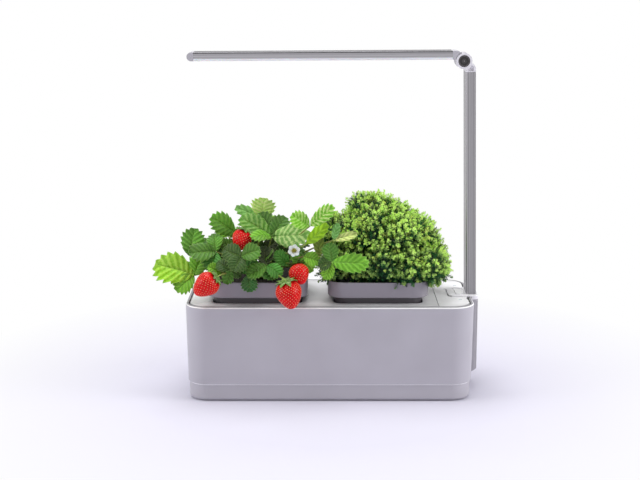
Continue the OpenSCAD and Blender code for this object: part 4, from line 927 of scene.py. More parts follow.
def copies_tree(placing: Placing, source: bpy.types.Object, finish: Finish, seed: int) -> bpy.types.NodeTree:
    """Builds a geometry tree that puts copies of an object on a surface or on points.

    Args:
        placing: Scattered over faces, or one on each point.
        source: The object that is copied; its own Z axis points outwards.
        finish: The copies' material.
        seed: Fixes everything random.

    Returns:
        The tree, with Distance, Thinning, Least Size, Most Size, Uprightness and Lean as its inputs.
    """
    tree = bpy.data.node_groups.new(f"copies_of_{source.name}", "GeometryNodeTree")
    tree.interface.new_socket("Geometry", in_out="INPUT", socket_type="NodeSocketGeometry")
    for label in ("Distance", "Thinning", "Least Size", "Most Size", "Uprightness", "Lean"):
        tree.interface.new_socket(label, in_out="INPUT", socket_type="NodeSocketFloat")
    tree.interface.new_socket("Geometry", in_out="OUTPUT", socket_type="NodeSocketGeometry")
    graph = Graph(tree)
    given, end = graph.add("NodeGroupInput").outputs, graph.add("NodeGroupOutput")
    if placing is Placing.SCATTER:
        # Cloudy hollows get fewer copies, so that the cover shows clumps.
        hollow = graph.add("ShaderNodeTexNoise", {"Scale": 75.0, "Detail": 2.0}).outputs[0]
        hollow = graph.spread(hollow, 0.5, 0.36)
        thin = graph.math("SUBTRACT", 1.0, graph.math("MULTIPLY", hollow, given["Thinning"]))
        spots = graph.add(
            "GeometryNodeDistributePointsOnFaces",
            {"Mesh": given["Geometry"], "Distance Min": given["Distance"], "Density Max": 900000.0,
             "Density Factor": thin, "Seed": seed},
            distribute_method="POISSON").outputs
        points, normal = spots["Points"], spots["Normal"]
    else:
        points = given["Geometry"]
        normal = graph.add("GeometryNodeInputNamedAttribute", {"Name": "outwards"},
                           data_type="FLOAT_VECTOR").outputs["Attribute"]
    out = graph.add("ShaderNodeMix", {0: given["Uprightness"], 4: normal, 5: (0.0, 0.0, 1.0)},
                    data_type="VECTOR").outputs[1]
    aligned = graph.add("FunctionNodeAlignRotationToVector", {"Vector": out}, axis="Z").outputs[0]
    lean = given["Lean"]
    less = graph.math("MULTIPLY", lean, -1.0)
    low = graph.add("ShaderNodeCombineXYZ", {"X": less, "Y": less, "Z": -math.pi}).outputs[0]
    high = graph.add("ShaderNodeCombineXYZ", {"X": lean, "Y": lean, "Z": math.pi}).outputs[0]
    tilt = graph.add("FunctionNodeRandomValue", data_type="FLOAT_VECTOR")
    graph.feed(tilt, {0: low, 1: high, "Seed": seed + 1})
    turned = graph.add("FunctionNodeRotateRotation", {0: aligned, 1: tilt.outputs[0]}, rotation_space="LOCAL")
    size = graph.add("FunctionNodeRandomValue", {"Seed": seed + 2}, data_type="FLOAT")
    graph.feed(size, {2: given["Least Size"], 3: given["Most Size"]})
    model = graph.add("GeometryNodeObjectInfo", {"Object": source}).outputs["Geometry"]
    copies = graph.add("GeometryNodeInstanceOnPoints", {
        "Points": points, "Instance": model, "Rotation": turned.outputs[0], "Scale": size.outputs[1]})
    shade = graph.add("FunctionNodeRandomValue", {"Seed": seed + 3}, data_type="FLOAT").outputs[1]
    marked = graph.add("GeometryNodeStoreNamedAttribute",
                       {"Geometry": copies.outputs[0], "Name": "shade", "Value": shade},
                       data_type="FLOAT", domain="INSTANCE")
    real = graph.add("GeometryNodeRealizeInstances", {"Geometry": marked.outputs[0]}).outputs[0]
    dressed = graph.add("GeometryNodeSetMaterial", {"Geometry": real, "Material": finish.material()})
    graph.feed(end, {0: dressed.outputs[0]})
    return tree


def grow_copies(name: str, host: bpy.types.Object, tree: bpy.types.NodeTree, sizes: dict[str, float],
                finish: Finish) -> bpy.types.Object:
    """Runs a geometry tree on a host and turns the result into a plain mesh.

    Args:
        name: The new piece's name.
        host: The surface or points that carry the copies.
        tree: The geometry tree.
        sizes: Input name to value.
        finish: The copies' material.

    Returns:
        The new piece.
    """
    modifier = host.modifiers.new("copies", "NODES")
    modifier.node_group = tree
    for item in tree.interface.items_tree:
        if item.in_out == "INPUT" and item.name in sizes:
            modifier[item.identifier] = sizes[item.name]
    mesh = plain_mesh(host, name)
    host.modifiers.remove(modifier)
    coat(mesh, finish)
    mesh.polygons.foreach_set("material_index", [0] * len(mesh.polygons))
    return add_object(name, mesh)


# ---------------------------------------------------------------- tank and lamp


@dataclass
class DressedParts:
    """A sub-assembly whose shapes all come from the frame: each finish, and the nodes that have it."""

    finishes: tuple[tuple[Finish, str], ...] = ()

    def make(self) -> None:
        """Dresses every node."""
        for finish, nodes in self.finishes:
            dress(finish, *nodes.split())


@dataclass
class Tank(DressedParts):
    """The tank with its lid, pots, control panel, pump and float."""

    finishes: tuple[tuple[Finish, str], ...] = (
        (SHELL, "body_shell"), (BASE, "base_tray"), (RUBBER, "non_slip_ring"),
        (STEEL, "base_screws box_screws"), (TUB, "water_tank"), (PUMP, "pump_body power_inlet"),
        (GRILLE, "pump_cover hose_spout"),
        (WHITE, "pump_rotor float_stem"), (HOSE, "pump_hose"), (FLOAT, "water_float"),
        (BOARD, "power_board control_board"), (CHIP, "board_parts"), (BOX, "control_box"),
        (PANEL, "control_panel lamp_socket"), (LENS, "indicator_lenses"), (BRASS, "contact_pads"),
        (LID, "plant_lid"), (POT, "left_pot right_pot"), (SPONGE, "left_sponge right_sponge"))


@dataclass
class Lamp(DressedParts):
    """The lamp: bracket, ribbed pole, hinge and light bar."""

    finishes: tuple[tuple[Finish, str], ...] = (
        (BRACKET, "lamp_bracket"), (COVER, "leg_cover tongue_cover"), (BUTTON, "lamp_button"),
        (BOARD, "button_board"), (BRASS, "contact_pins"),
        (STEEL, "cover_screws pole_screws bar_screws hinge_pin"), (POLE, "lamp_pole"), (HEAD, "pole_head"),
        (FITTING, "bar_fitting bar_end_cap"), (CAP, "hinge_caps"), (WHITE, "hinge_washers led_board"),
        (BAR, "lamp_bar"), (DIFFUSER, "lamp_diffuser"), (LED, "lamp_leds"))


# ---------------------------------------------------------------- strawberry plant


class Tone(Enum):
    """The greens of the leaves: the shaded, the full-grown, the young and the faded; SHADE and DARK are
    painted shade, and BRIGHT is partly painted light.
    """

    SHADE = rgb(18, 36, 14)
    DARK = rgb(36, 72, 20)
    DEEP = rgb(68, 116, 34)
    BLUE = rgb(34, 94, 40)
    MID = rgb(92, 148, 42)
    COOL = rgb(68, 136, 48)
    FRESH = rgb(118, 172, 46)
    LIME = rgb(138, 186, 24)
    PALE = rgb(124, 178, 96)
    BRIGHT = rgb(230, 254, 140)
    STRIPED = rgb(140, 200, 54)
    OLIVE = rgb(98, 120, 40)
    HUSK = rgb(182, 200, 130)


@dataclass(frozen=True)
class Leaflet:
    """One leaflet, in millimetres and degrees.

    facing is the way its upper side looks: 0 is up, 90 towards the front. fold raises its sides, droop bends
    its tip down, and sheen_stripe pales the blade between its veins with a painted sheen.
    """

    base: Point
    tip: Point
    width: float
    tone: Tone
    facing: float = 50.0
    fold: float = 0.25
    droop: float = 0.12
    sheen_stripe: float = 0.0


def leaf(base: Point, *blades: tuple) -> list[Leaflet]:
    """Lists the leaflets of one leaf, which all start at its stalk's end.

    Args:
        base: The stalk's end.
        *blades: Each leaflet's other values, from its tip on.

    Returns:
        The leaflets.
    """
    return [Leaflet(base, *blade) for blade in blades]


@dataclass(frozen=True)
class Berry:
    """One fruit: the middle of its shoulder, its radius, the length to its tip, and its turns in degrees."""

    middle: Point
    radius: float
    length: float
    lean: float
    heading: float
    sepals: float = 1.0

    def frame(self) -> Matrix:
        """Returns the matrix from the berry's own frame, its calyx up, to the plant's."""
        return tilted(self.middle, self.heading, self.lean, "Y")

    def stalk_end(self) -> Vector:
        """Returns the point above the calyx where the stalk ends."""
        return self.frame() @ Vector((0, 0, self.radius * 0.82 + 1.0))

    def outline(self, share: float) -> tuple[float, float]:
        """Gives the berry's form, which is round about its axis.

        Args:
            share: How far down it is, from 0 at the calyx to 1 at the tip.

        Returns:
            The radius and the height there.
        """
        angle = math.pi * share
        low = max(0.0, -math.cos(angle))
        radius = self.radius * math.sin(angle) ** 0.8 * (1 - 0.3 * low ** 1.2)
        height = math.cos(angle) * (self.radius * 0.86 if angle < math.pi / 2 else self.length)
        return radius, height

    def seed_places(self) -> list[tuple[Vector, Vector]]:
        """Spreads the seeds over the berry.

        Returns:
            Where each sits and which way it looks, in the berry's own frame.
        """
        count = int(1.05 * self.radius ** 2)
        places = []
        for i in range(count):
            angle = i * GOLDEN_TURN
            share = math.acos(1 - 2 * (0.14 + 0.8 * (i + 0.5) / count)) / math.pi
            radius, height = self.outline(share)
            ahead_radius, ahead_height = self.outline(share + 0.01)
            slope = Vector((height - ahead_height, ahead_radius - radius))
            places.append((around(angle, radius, height), around(angle, *slope).normalized()))
        return places


@dataclass
class StrawberryPlant:
    """The strawberry plant, in millimetres; the leaves' places are from its crown on the sponge."""

    crown: Point = (-88.0, 0.0, 138.0)
    teeth: int = 7
    small_leaflet: float = 17.0
    rows: tuple[float, ...] = (0.0, 0.22, 0.45, 0.66, 0.84, 0.94, 1.0)
    tooth_depth: float = 0.2
    pleat: float = 0.014
    seed: int = 11
    leaf_thickness: float = 0.4
    shaded_leaf_count: int = 30
    stalk_sides: int = 7
    crown_stubs: int = 14
    berry_rings: int = 56
    berry_sides: int = 88
    pit_depth: float = 0.6
    pit_spread: float = 1.1
    seed_size: Point = (0.44, 0.7, 0.42)
    sepal_count: int = 10
    sepal_steps: int = 6
    sepal_thickness: float = 0.35
    petal_count: int = 6
    petal_half: float = 3.3
    petal_steps: int = 8
    petal_thickness: float = 0.3
    stamens: int = 60
    stamen_reach: float = 2.9
    flower: Point = (-43.0, -61.0, 185.0)
    flower_tilt: float = 78.0
    berries: tuple[Berry, ...] = (
        Berry((-106, -44, 197), 12.0, 15.5, 15, 0, 0.8),
        Berry((-145, -80, 149), 14.5, 20.0, 52, 0, 0.8),
        Berry((-37, -72, 160), 12.2, 14.5, 40, 113, 1.1),
        Berry((-49, -90, 141), 15.6, 20.5, -13, 0, 1.0))

    def leaves(self) -> list[list[Leaflet]]:
        """Lists the leaves, each as its leaflets."""
        return [
            leaf((-76, -50, 14), ((-123, -48, 31), 44, Tone.LIME, 55, 0.12, 0.2, 0.12),
                 ((-97, -62, -1), 26, Tone.FRESH, 60), ((-66, -38, 40), 28, Tone.FRESH, 50)),
            leaf((-50, -40, 41), ((-80, -55, 45), 30, Tone.DEEP, 45), ((-57, -58, 24), 26, Tone.COOL, 60),
                 ((-54, -20, 62), 22, Tone.MID, 60)),
            leaf((-83, -28, 33), ((-78, -18, 66), 31, Tone.MID, 70)),
            leaf((-29, -10, 58), ((-54, -22, 81), 30, Tone.MID, 60)),
            leaf((-38, 5, 51), ((-52, 0, 61), 14, Tone.FRESH, 60)),
            leaf((18, -38, 60), ((-22, -20, 82), 29, Tone.MID, 60, 0.3, 0.1, 0.15),
                 ((3, -18, 87), 27, Tone.DEEP, 60), ((-4, -58, 66), 20, Tone.FRESH, 40),
                 ((60, -58, 67), 35, Tone.PALE, 60, 0.15, 0.15, 0.45), ((34, -30, 83), 27, Tone.DEEP, 60)),
            leaf((5, 0, 75), ((7, -8, 102), 33, Tone.BRIGHT, 48, 0.15, 0.0, 0.6),
                 ((-28, 2, 89), 17, Tone.PALE, 60), ((28, 8, 75), 14, Tone.FRESH, 20)),
            leaf((-18, -62, 40), ((-40, -56, 48), 28, Tone.DARK, 55), ((-27, -74, 26), 26, Tone.DARK, 50),
                 ((3, -66, 51), 27, Tone.DEEP, 50)),
            leaf((12, -60, 29), ((7, -46, 50), 25, Tone.SHADE, 60), ((-11, -70, 20), 23, Tone.DEEP, 50),
                 ((30, -68, 19), 21, Tone.COOL, 50)),
            leaf((-9, -66, 19), ((-8, -72, -1), 22, Tone.BLUE, 75)),
            leaf((-31, -62, 23), ((-48, -55, 33), 20, Tone.DARK, 55), ((-37, -68, 8), 16, Tone.DEEP, 60),
                 ((-18, -62, 17), 14, Tone.DARK, 60)),
            leaf((64, -62, 77), ((42, -66, 91), 23, Tone.STRIPED, 75, 0.25, 0.0, 0.4),
                 ((92, -72, 103), 20, Tone.STRIPED, 75, 0.35, 0.0, 0.7)),
            leaf((59, -64, 55), ((85, -70, 81), 17, Tone.LIME, 75, 0.1, 0.0)),
            leaf((76, -66, 41), ((74, -62, 65), 15, Tone.OLIVE, 75)),
            leaf((56, -63, 40), ((76, -68, 36), 22, Tone.FRESH, 60), ((67, -56, 18), 15, Tone.FRESH, 70)),
            leaf((90, -72, 35), ((87, -68, 58), 22, Tone.DEEP, 65), ((74, -73, 33), 20, Tone.DARK, 60),
                 ((82, -78, 16), 18, Tone.FRESH, 75), ((133, -78, 35), 26, Tone.FRESH, 70, 0.1, 0.05)),
            leaf((92, -67, 61), ((119, -71, 70), 12, Tone.HUSK, 60), ((97, -69, 81), 11, Tone.PALE, 70)),
            leaf((18, -28, 26), ((37, -36, 46), 24, Tone.DARK, 60)),
            leaf((38, -46, 25), ((23, -50, 43), 20, Tone.COOL, 60)),
            leaf((-30, -20, 39), ((-44, -26, 52), 18, Tone.DEEP, 55)),
            leaf((-43, -55, 18), ((-57, -62, 28), 18, Tone.FRESH, 50)),
            leaf((-21, -50, 19), ((-1, -60, 34), 22, Tone.COOL, 50)),
            leaf((25, -56, 12), ((4, -66, 27), 20, Tone.COOL, 50)),
            leaf((57, -58, 28), ((42, -54, 41), 14, Tone.MID, 50)),
            leaf((-16, 46, 46), ((-22, 74, 50), 28, Tone.MID, -40), ((8, 64, 42), 24, Tone.DEEP, -40),
                 ((-44, 62, 44), 24, Tone.FRESH, -40)),
            leaf((22, 44, 38), ((38, 68, 40), 26, Tone.DEEP, -40), ((48, 38, 42), 22, Tone.MID, -20),
                 ((16, 70, 30), 22, Tone.FRESH, -45)),
            leaf((-52, 34, 32), ((-76, 54, 36), 28, Tone.DEEP, -40), ((-82, 28, 34), 24, Tone.MID, -30),
                 ((-54, 62, 28), 24, Tone.COOL, -45)),
            leaf((2, 30, 64), ((4, 56, 74), 26, Tone.MID, -35), ((26, 40, 70), 20, Tone.FRESH, -20),
                 ((-22, 44, 72), 22, Tone.DEEP, -30)),
            leaf((40, 30, 30), ((62, 38, 34), 20, Tone.DEEP, -20), ((46, 52, 26), 20, Tone.MID, -40),
                 ((58, 18, 28), 18, Tone.DARK, -10)),
            leaf((-40, 50, 18), ((-50, 74, 16), 22, Tone.COOL, -45), ((-66, 56, 18), 20, Tone.DEEP, -35),
                 ((-18, 68, 18), 20, Tone.MID, -40)),
        ]

    def shaded_leaves(self) -> list[list[Leaflet]]:
        """Scatters the small leaves that fill the plant behind and under the large ones, in dark tones that
        are painted shade.

        Returns:
            The leaves, each as its leaflets.
        """
        rnd = Random(self.seed + 7)
        tones = (Tone.SHADE, Tone.DARK, Tone.SHADE, Tone.DEEP, Tone.DARK)
        leaves = []
        for i in range(self.shaded_leaf_count):
            angle = i * CROWN_TURN
            reach = 14 + 36 * math.sqrt((i + 0.5) / self.shaded_leaf_count)
            x, y = 1.15 * reach * math.cos(angle), 0.75 * reach * math.sin(angle) - 6
            base = Vector((x, y, 14 + rnd.uniform(0, 26)))
            heading = angle + rnd.uniform(-0.9, 0.9)
            size = rnd.uniform(18, 26)
            ahead = Vector((math.cos(heading), 0.6 * math.sin(heading), rnd.uniform(0.1, 0.7))).normalized()
            facing = 50.0 if y < 4 else -40.0
            blade = (tuple(base + ahead * size), size * 0.85, tones[i % len(tones)], facing)
            leaves.append(leaf(tuple(base), blade))
        # Three more dark leaves, painted shade where the plant would show through.
        return leaves + [
            leaf((6, 4, 32), ((24, -6, 51), 24, Tone.SHADE, 60), ((-13, -4, 50), 24, Tone.DARK, 60)),
            leaf((32, 6, 28), ((48, -2, 46), 22, Tone.SHADE, 60), ((34, 2, 50), 22, Tone.DARK, 60),
                 ((14, 0, 42), 20, Tone.SHADE, 60)),
            leaf((-34, -8, 28), ((-54, -14, 46), 26, Tone.DARK, 60), ((-36, -12, 50), 24, Tone.SHADE, 60))]

    def add_leaflet(self, skin: Skin, leaflet: Leaflet, rnd: Random) -> None:
        """Adds one leaflet: a toothed blade, furrowed along its side veins.

        Args:
            skin: The mesh that takes it.
            leaflet: Its place and shape.
            rnd: Source of its small irregularities.
        """
        crown = Vector(self.crown)
        base, tip = crown + Vector(leaflet.base), crown + Vector(leaflet.tip)
        length = (tip - base).length
        along = (tip - base).normalized()
        facing = math.radians(leaflet.facing)
        looks = Vector((0.0, -math.sin(facing), math.cos(facing)))
        up = (looks - along * looks.dot(along)).normalized()
        side = up.cross(along)
        tone = Vector(leaflet.tone.value[:3]) * rnd.uniform(1.1, 1.35)
        warm = rnd.uniform(-0.12, 0.1)
        pleat = self.pleat * rnd.uniform(0.5, 1.3)
        tone = Vector((tone.x * (1 + warm), tone.y, tone.z * (1 - warm)))
        wave = [rnd.uniform(0.4, 1.0) for _ in range(3)]
        phase = [rnd.uniform(0, 6.3) for _ in range(3)]
        teeth = self.teeth if leaflet.width > self.small_leaflet else self.teeth - 2
        painted_side_light = rnd.uniform(-0.2, 0.2)

        def spot(column: float, row: float, hand: int) -> tuple[Vector, Colour]:
            """Finds one point of the blade.

            Args:
                column: How many teeth along the midrib it is.
                row: How far out it is, from 0 on the midrib to 1 on the margin.
                hand: Which half of the blade it is on, 1 to the left of the midrib and -1 to its right.

            Returns:
                Its place and colour.
            """
            share = column / teeth
            # Where the column starts on the midrib and where it ends on the margin, as shares of the length.
            rib_x = 0.02 + 0.8 * share ** 1.25 + 0.18 * share ** 6
            edge_x = (0.5 - 0.5 * math.cos(math.pi * share)) ** 0.7
            edge_y = 0.5 * leaflet.width / length * math.sin(math.pi * min(share, 0.995)) ** 0.85
            tooth = 1 - abs(2 * (column % 1.0) - 1) ** 1.1
            reach = row * (1 - self.tooth_depth * (1 - tooth) * row ** 4)
            x = rib_x + (edge_x - rib_x) * reach + 0.03 * tooth * row ** 3
            y = edge_y * reach
            # The blade rises between its side veins, folds along the midrib, waves a little and droops.
            ridge = math.cos(2 * math.pi * column)
            z = pleat * ridge * math.sin(math.pi * min(row, 0.9)) ** 0.6
            z += leaflet.fold * y - 0.9 * leaflet.fold * y * (y / max(edge_y, 1e-4)) ** 3
            z += 0.025 * wave[0] * math.sin(5 * x + phase[0])
            z += 0.06 * wave[1] * row ** 2 * math.sin(8 * x + phase[1])
            z -= leaflet.droop * x ** 2.2
            # Painted light: one half of the blade lighter than the other and the ridges a little lighter,
            # with waves of tone along it.
            light = 1 + 0.16 * math.sin(6 * x + phase[2]) * row + 0.05 * ridge + painted_side_light * hand
            return base + (along * x + side * y * hand + up * z) * length, (*(tone * light), leaflet.sheen_stripe)

        for hand in (-1, 1):
            lines = []
            for c in range(teeth * 4 + 1):
                line = []
                for row in self.rows:
                    place, colour = spot(c / 4, row, hand)
                    line.append(skin.point(place, (c / 4 / TOOTH_COLUMNS, 0.5 + 0.5 * hand * row), colour))
                lines.append(line)
            skin.grid(lines if hand < 0 else [list(reversed(line)) for line in lines])

    def make_leaves(self) -> None:
        """Builds the large leaves as one thin closed piece and the shaded ones as another."""
        rnd = Random(self.seed)
        for name, leaves, nodes in (("strawberry_foliage", self.leaves(), ("strawberry_leaves",)),
                                    ("strawberry_undergrowth", self.shaded_leaves(), ())):
            skin = Skin()
            for leaflet in (each for whole in leaves for each in whole):
                self.add_leaflet(skin, leaflet, rnd)
            piece = skin.build(name, (LEAF_TOP, LEAF_BACK))
            thicken(piece, self.leaf_thickness)
            settle(piece, "left_plant", "leaf_green", *nodes)

    def make_stalks(self) -> None:
        """Builds the crown and the stalks of the leaves, berries and flower."""
        skin, rnd = Skin(), Random(self.seed + 1)
        crown = Vector(self.crown)
        for whole in self.leaves() + self.shaded_leaves():
            foot = crown + Vector((rnd.uniform(-7, 7), rnd.uniform(-6, 6), 0))
            path = bend(foot, crown + Vector(whole[0].base), rnd.uniform(6, 14))
            skin.tube(path, [1.3 - 0.5 * i / 10 for i in range(11)], self.stalk_sides)
        for berry in self.berries:
            path = bend(crown + Vector((rnd.uniform(-5, 5), -4, 0)), berry.stalk_end(), rnd.uniform(14, 22))
            skin.tube(path, [1.0 - 0.2 * i / 10 for i in range(11)], self.stalk_sides)
        skin.tube(bend(crown, Vector(self.flower) + Vector((0, 2, -1)), 14), [0.9] * 11, self.stalk_sides)
        for i in range(self.crown_stubs):
            angle = i * CROWN_TURN
            foot = crown + around(angle, 6)
            skin.tube(bend(foot, foot + around(angle, 3, 12), 2, 4), [3.2, 3.0, 2.4, 1.4, 0.5], 8)
        settle(skin.build("strawberry_stems", (STALK,)), "left_plant", "stalk_green", "strawberry_stalks")

    def add_berry(self, skin: Skin, berry: Berry) -> list[tuple[Vector, Vector]]:
        """Adds a berry with a dimple for each seed.

        Args:
            skin: The mesh that takes it; its colours carry ripeness and how deep each point lies in a dimple.
            berry: Its place and shape.

        Returns:
            Each seed's place in its dimple and the way it looks.
        """
        matrix, places = berry.frame(), berry.seed_places()
        seeds = KDTree(len(places))
        for k, (seat, _) in enumerate(places):
            seeds.insert(seat, k)
        seeds.balance()
        rows = []
        for j in range(self.berry_rings + 1):
            share = 0.002 + 0.996 * j / self.berry_rings
            ripe = min(1.0, 0.35 + 2.4 * share)
            radius, height = berry.outline(share)
            row = []
            for i in range(self.berry_sides):
                place = around(2 * math.pi * i / self.berry_sides, radius, height)
                pit = math.exp(-seeds.find(place)[2] ** 2 / self.pit_spread)
                inward = Vector((0, 0, -0.25 * berry.length)) - place
                place += inward.normalized() * self.pit_depth * pit
                uv = (i / self.berry_sides, j / self.berry_rings)
                row.append(skin.point(matrix @ place, uv, (ripe, pit, 0, 1)))
            rows.append(row)
        skin.grid([list(reversed(row)) for row in rows], closed=True)
        skin.faces += [tuple(rows[0]), tuple(reversed(rows[-1]))]
        turn = matrix.to_3x3()
        return [(matrix @ (seat - outward * 0.25), turn @ outward) for seat, outward in places]

    def make_berries(self) -> None:
        """Builds the berries and the seeds in their dimples."""
        fruit = Skin()
        seats = [seat for berry in self.berries for seat in self.add_berry(fruit, berry)]
        piece = fruit.build("berries", (FRUIT,))
        for channel, label in enumerate(("ripeness", "pit")):
            layer = piece.data.attributes.new(label, "FLOAT", "POINT")
            layer.data.foreach_set("value", [tone[channel] for tone in fruit.tones])
        settle(piece, "left_plant", "berry_red", "strawberries")
        self.make_seeds(seats)

    def make_seeds(self, seats: list[tuple[Vector, Vector]]) -> None:
        """Puts a seed on each seat.

        Args:
            seats: Each seed's place and the way it looks, in millimetres.
        """
        grain, body = bpy.data.meshes.new("seed"), bmesh.new()
        bmesh.ops.create_icosphere(body, subdivisions=1, radius=1.0)
        bmesh.ops.scale(body, vec=[size * MM for size in self.seed_size], verts=body.verts)
        body.to_mesh(grain)
        body.free()
        grain.polygons.foreach_set("use_smooth", [True] * len(grain.polygons))
        seat_mesh = bpy.data.meshes.new("seed_seats")
        seat_mesh.from_pydata([place * MM for place, _ in seats], [], [])
        facing = seat_mesh.attributes.new("outwards", "FLOAT_VECTOR", "POINT")
        facing.data.foreach_set("vector", [value for _, outward in seats for value in outward])
        source, host = add_object("seed", grain), add_object("seed_seats", seat_mesh)
        tree = copies_tree(Placing.POINTS, source, SEED, self.seed)
        sizes = {"Least Size": 0.9, "Most Size": 1.2, "Lean": 0.15}
        piece = grow_copies("berry_seeds", host, tree, sizes, SEED)
        bpy.data.objects.remove(host)
        bpy.data.objects.remove(source)
        settle(piece, "left_plant", "berry_red")

    def add_sepal(self, skin: Skin, berry: Berry, number: int, rnd: Random) -> None:
        """Adds one of the narrow leaves that star a berry.

        Args:
            skin: The mesh that takes it.
            berry: The berry that carries it.
            number: Which of the star's leaves it is.
            rnd: Source of its small irregularities.
        """
        out = around(2 * math.pi * (number + rnd.uniform(-0.2, 0.2)) / self.sepal_count)
        reach = berry.radius * berry.sepals * rnd.uniform(0.8, 1.05)
        width = berry.radius * rnd.uniform(0.2, 0.28)
        lift = rnd.uniform(-0.1, 0.45)
        tone = rnd.choice((Tone.DEEP, Tone.MID, Tone.DARK)).value
        rows = []
        for j in range(self.sepal_steps + 1):
            t = j / self.sepal_steps
            height = berry.radius * 0.86 + 0.8 - 0.25 * reach * t * t + lift * reach * t ** 3
            middle = out * (1 + reach * t) + Vector((0, 0, height))
            half = width * math.sin(math.pi * (0.12 + 0.88 * t)) ** 0.8 * (1 - 0.3 * t)
            row = []
            for k in (-1, 0, 1):
                place = middle + sideways(out) * half * k + Vector((0, 0, 0.3 * abs(k)))
                uv = ((0.25 + 0.5 * t) / TOOTH_COLUMNS, 0.5 + 0.4 * k)
                row.append(skin.point(berry.frame() @ place, uv, tone[:3] + (0.2,)))
            rows.append(row)
        skin.grid(rows)

    def make_sepals(self) -> None:
        """Builds the star of narrow leaves on each berry."""
        skin, rnd = Skin(), Random(self.seed + 3)
        for berry in self.berries:
            for number in range(self.sepal_count):
                self.add_sepal(skin, berry, number, rnd)
        piece = skin.build("berry_calyxes", (LEAF_TOP, LEAF_BACK))
        thicken(piece, self.sepal_thickness)
        settle(piece, "left_plant", "sepal_green", "berry_sepals")

    def make_flower(self) -> None:
        """Builds the open flower: broad petals round a dome of stamens."""
        petals, middle = Skin(), Skin()
        matrix = tilted(self.flower, 0, self.flower_tilt, "X")
        for i in range(self.petal_count):
            out = around(2 * math.pi * i / self.petal_count + 0.3)
            rows = []
            for j in range(self.petal_steps + 1):
                t = j / self.petal_steps
                half = self.petal_half * math.sin(math.pi * (0.1 + 0.82 * t)) ** 0.6
                row = []
                for k in (-1, -0.5, 0, 0.5, 1):
                    cupped = Vector((0, 0, 1.2 * t * t + 0.5 * k * k))
                    place = out * (1.8 + 5.8 * t - 0.5 * k * k * t) + sideways(out) * half * k + cupped
                    row.append(petals.point(matrix @ place, (k, t)))
                rows.append(row)
            petals.grid(rows)
        piece = petals.build("flower_petals", (PETAL,))
        thicken(piece, self.petal_thickness, backs=0)
        settle(piece, "left_plant", "petal_white", "strawberry_flower")
        for j in range(self.stamens):
            share = math.sqrt((j + 0.5) / self.stamens)
            foot = around(j * GOLDEN_TURN, self.stamen_reach * share)
            tip = foot * 1.15 + Vector((0, 0, 2.3 * (1 - 0.7 * share * share)))
            middle.tube([matrix @ foot, matrix @ foot.lerp(tip, 0.8), matrix @ tip], [0.2, 0.3, 0.16], 6)
        settle(middle.build("flower_middle", (POLLEN,)), "left_plant", "petal_white")

    def make(self) -> None:
        """Builds the whole plant."""
        self.make_leaves()
        self.make_stalks()
        self.make_berries()
        self.make_sepals()
        self.make_flower()


# ---------------------------------------------------------------- herb


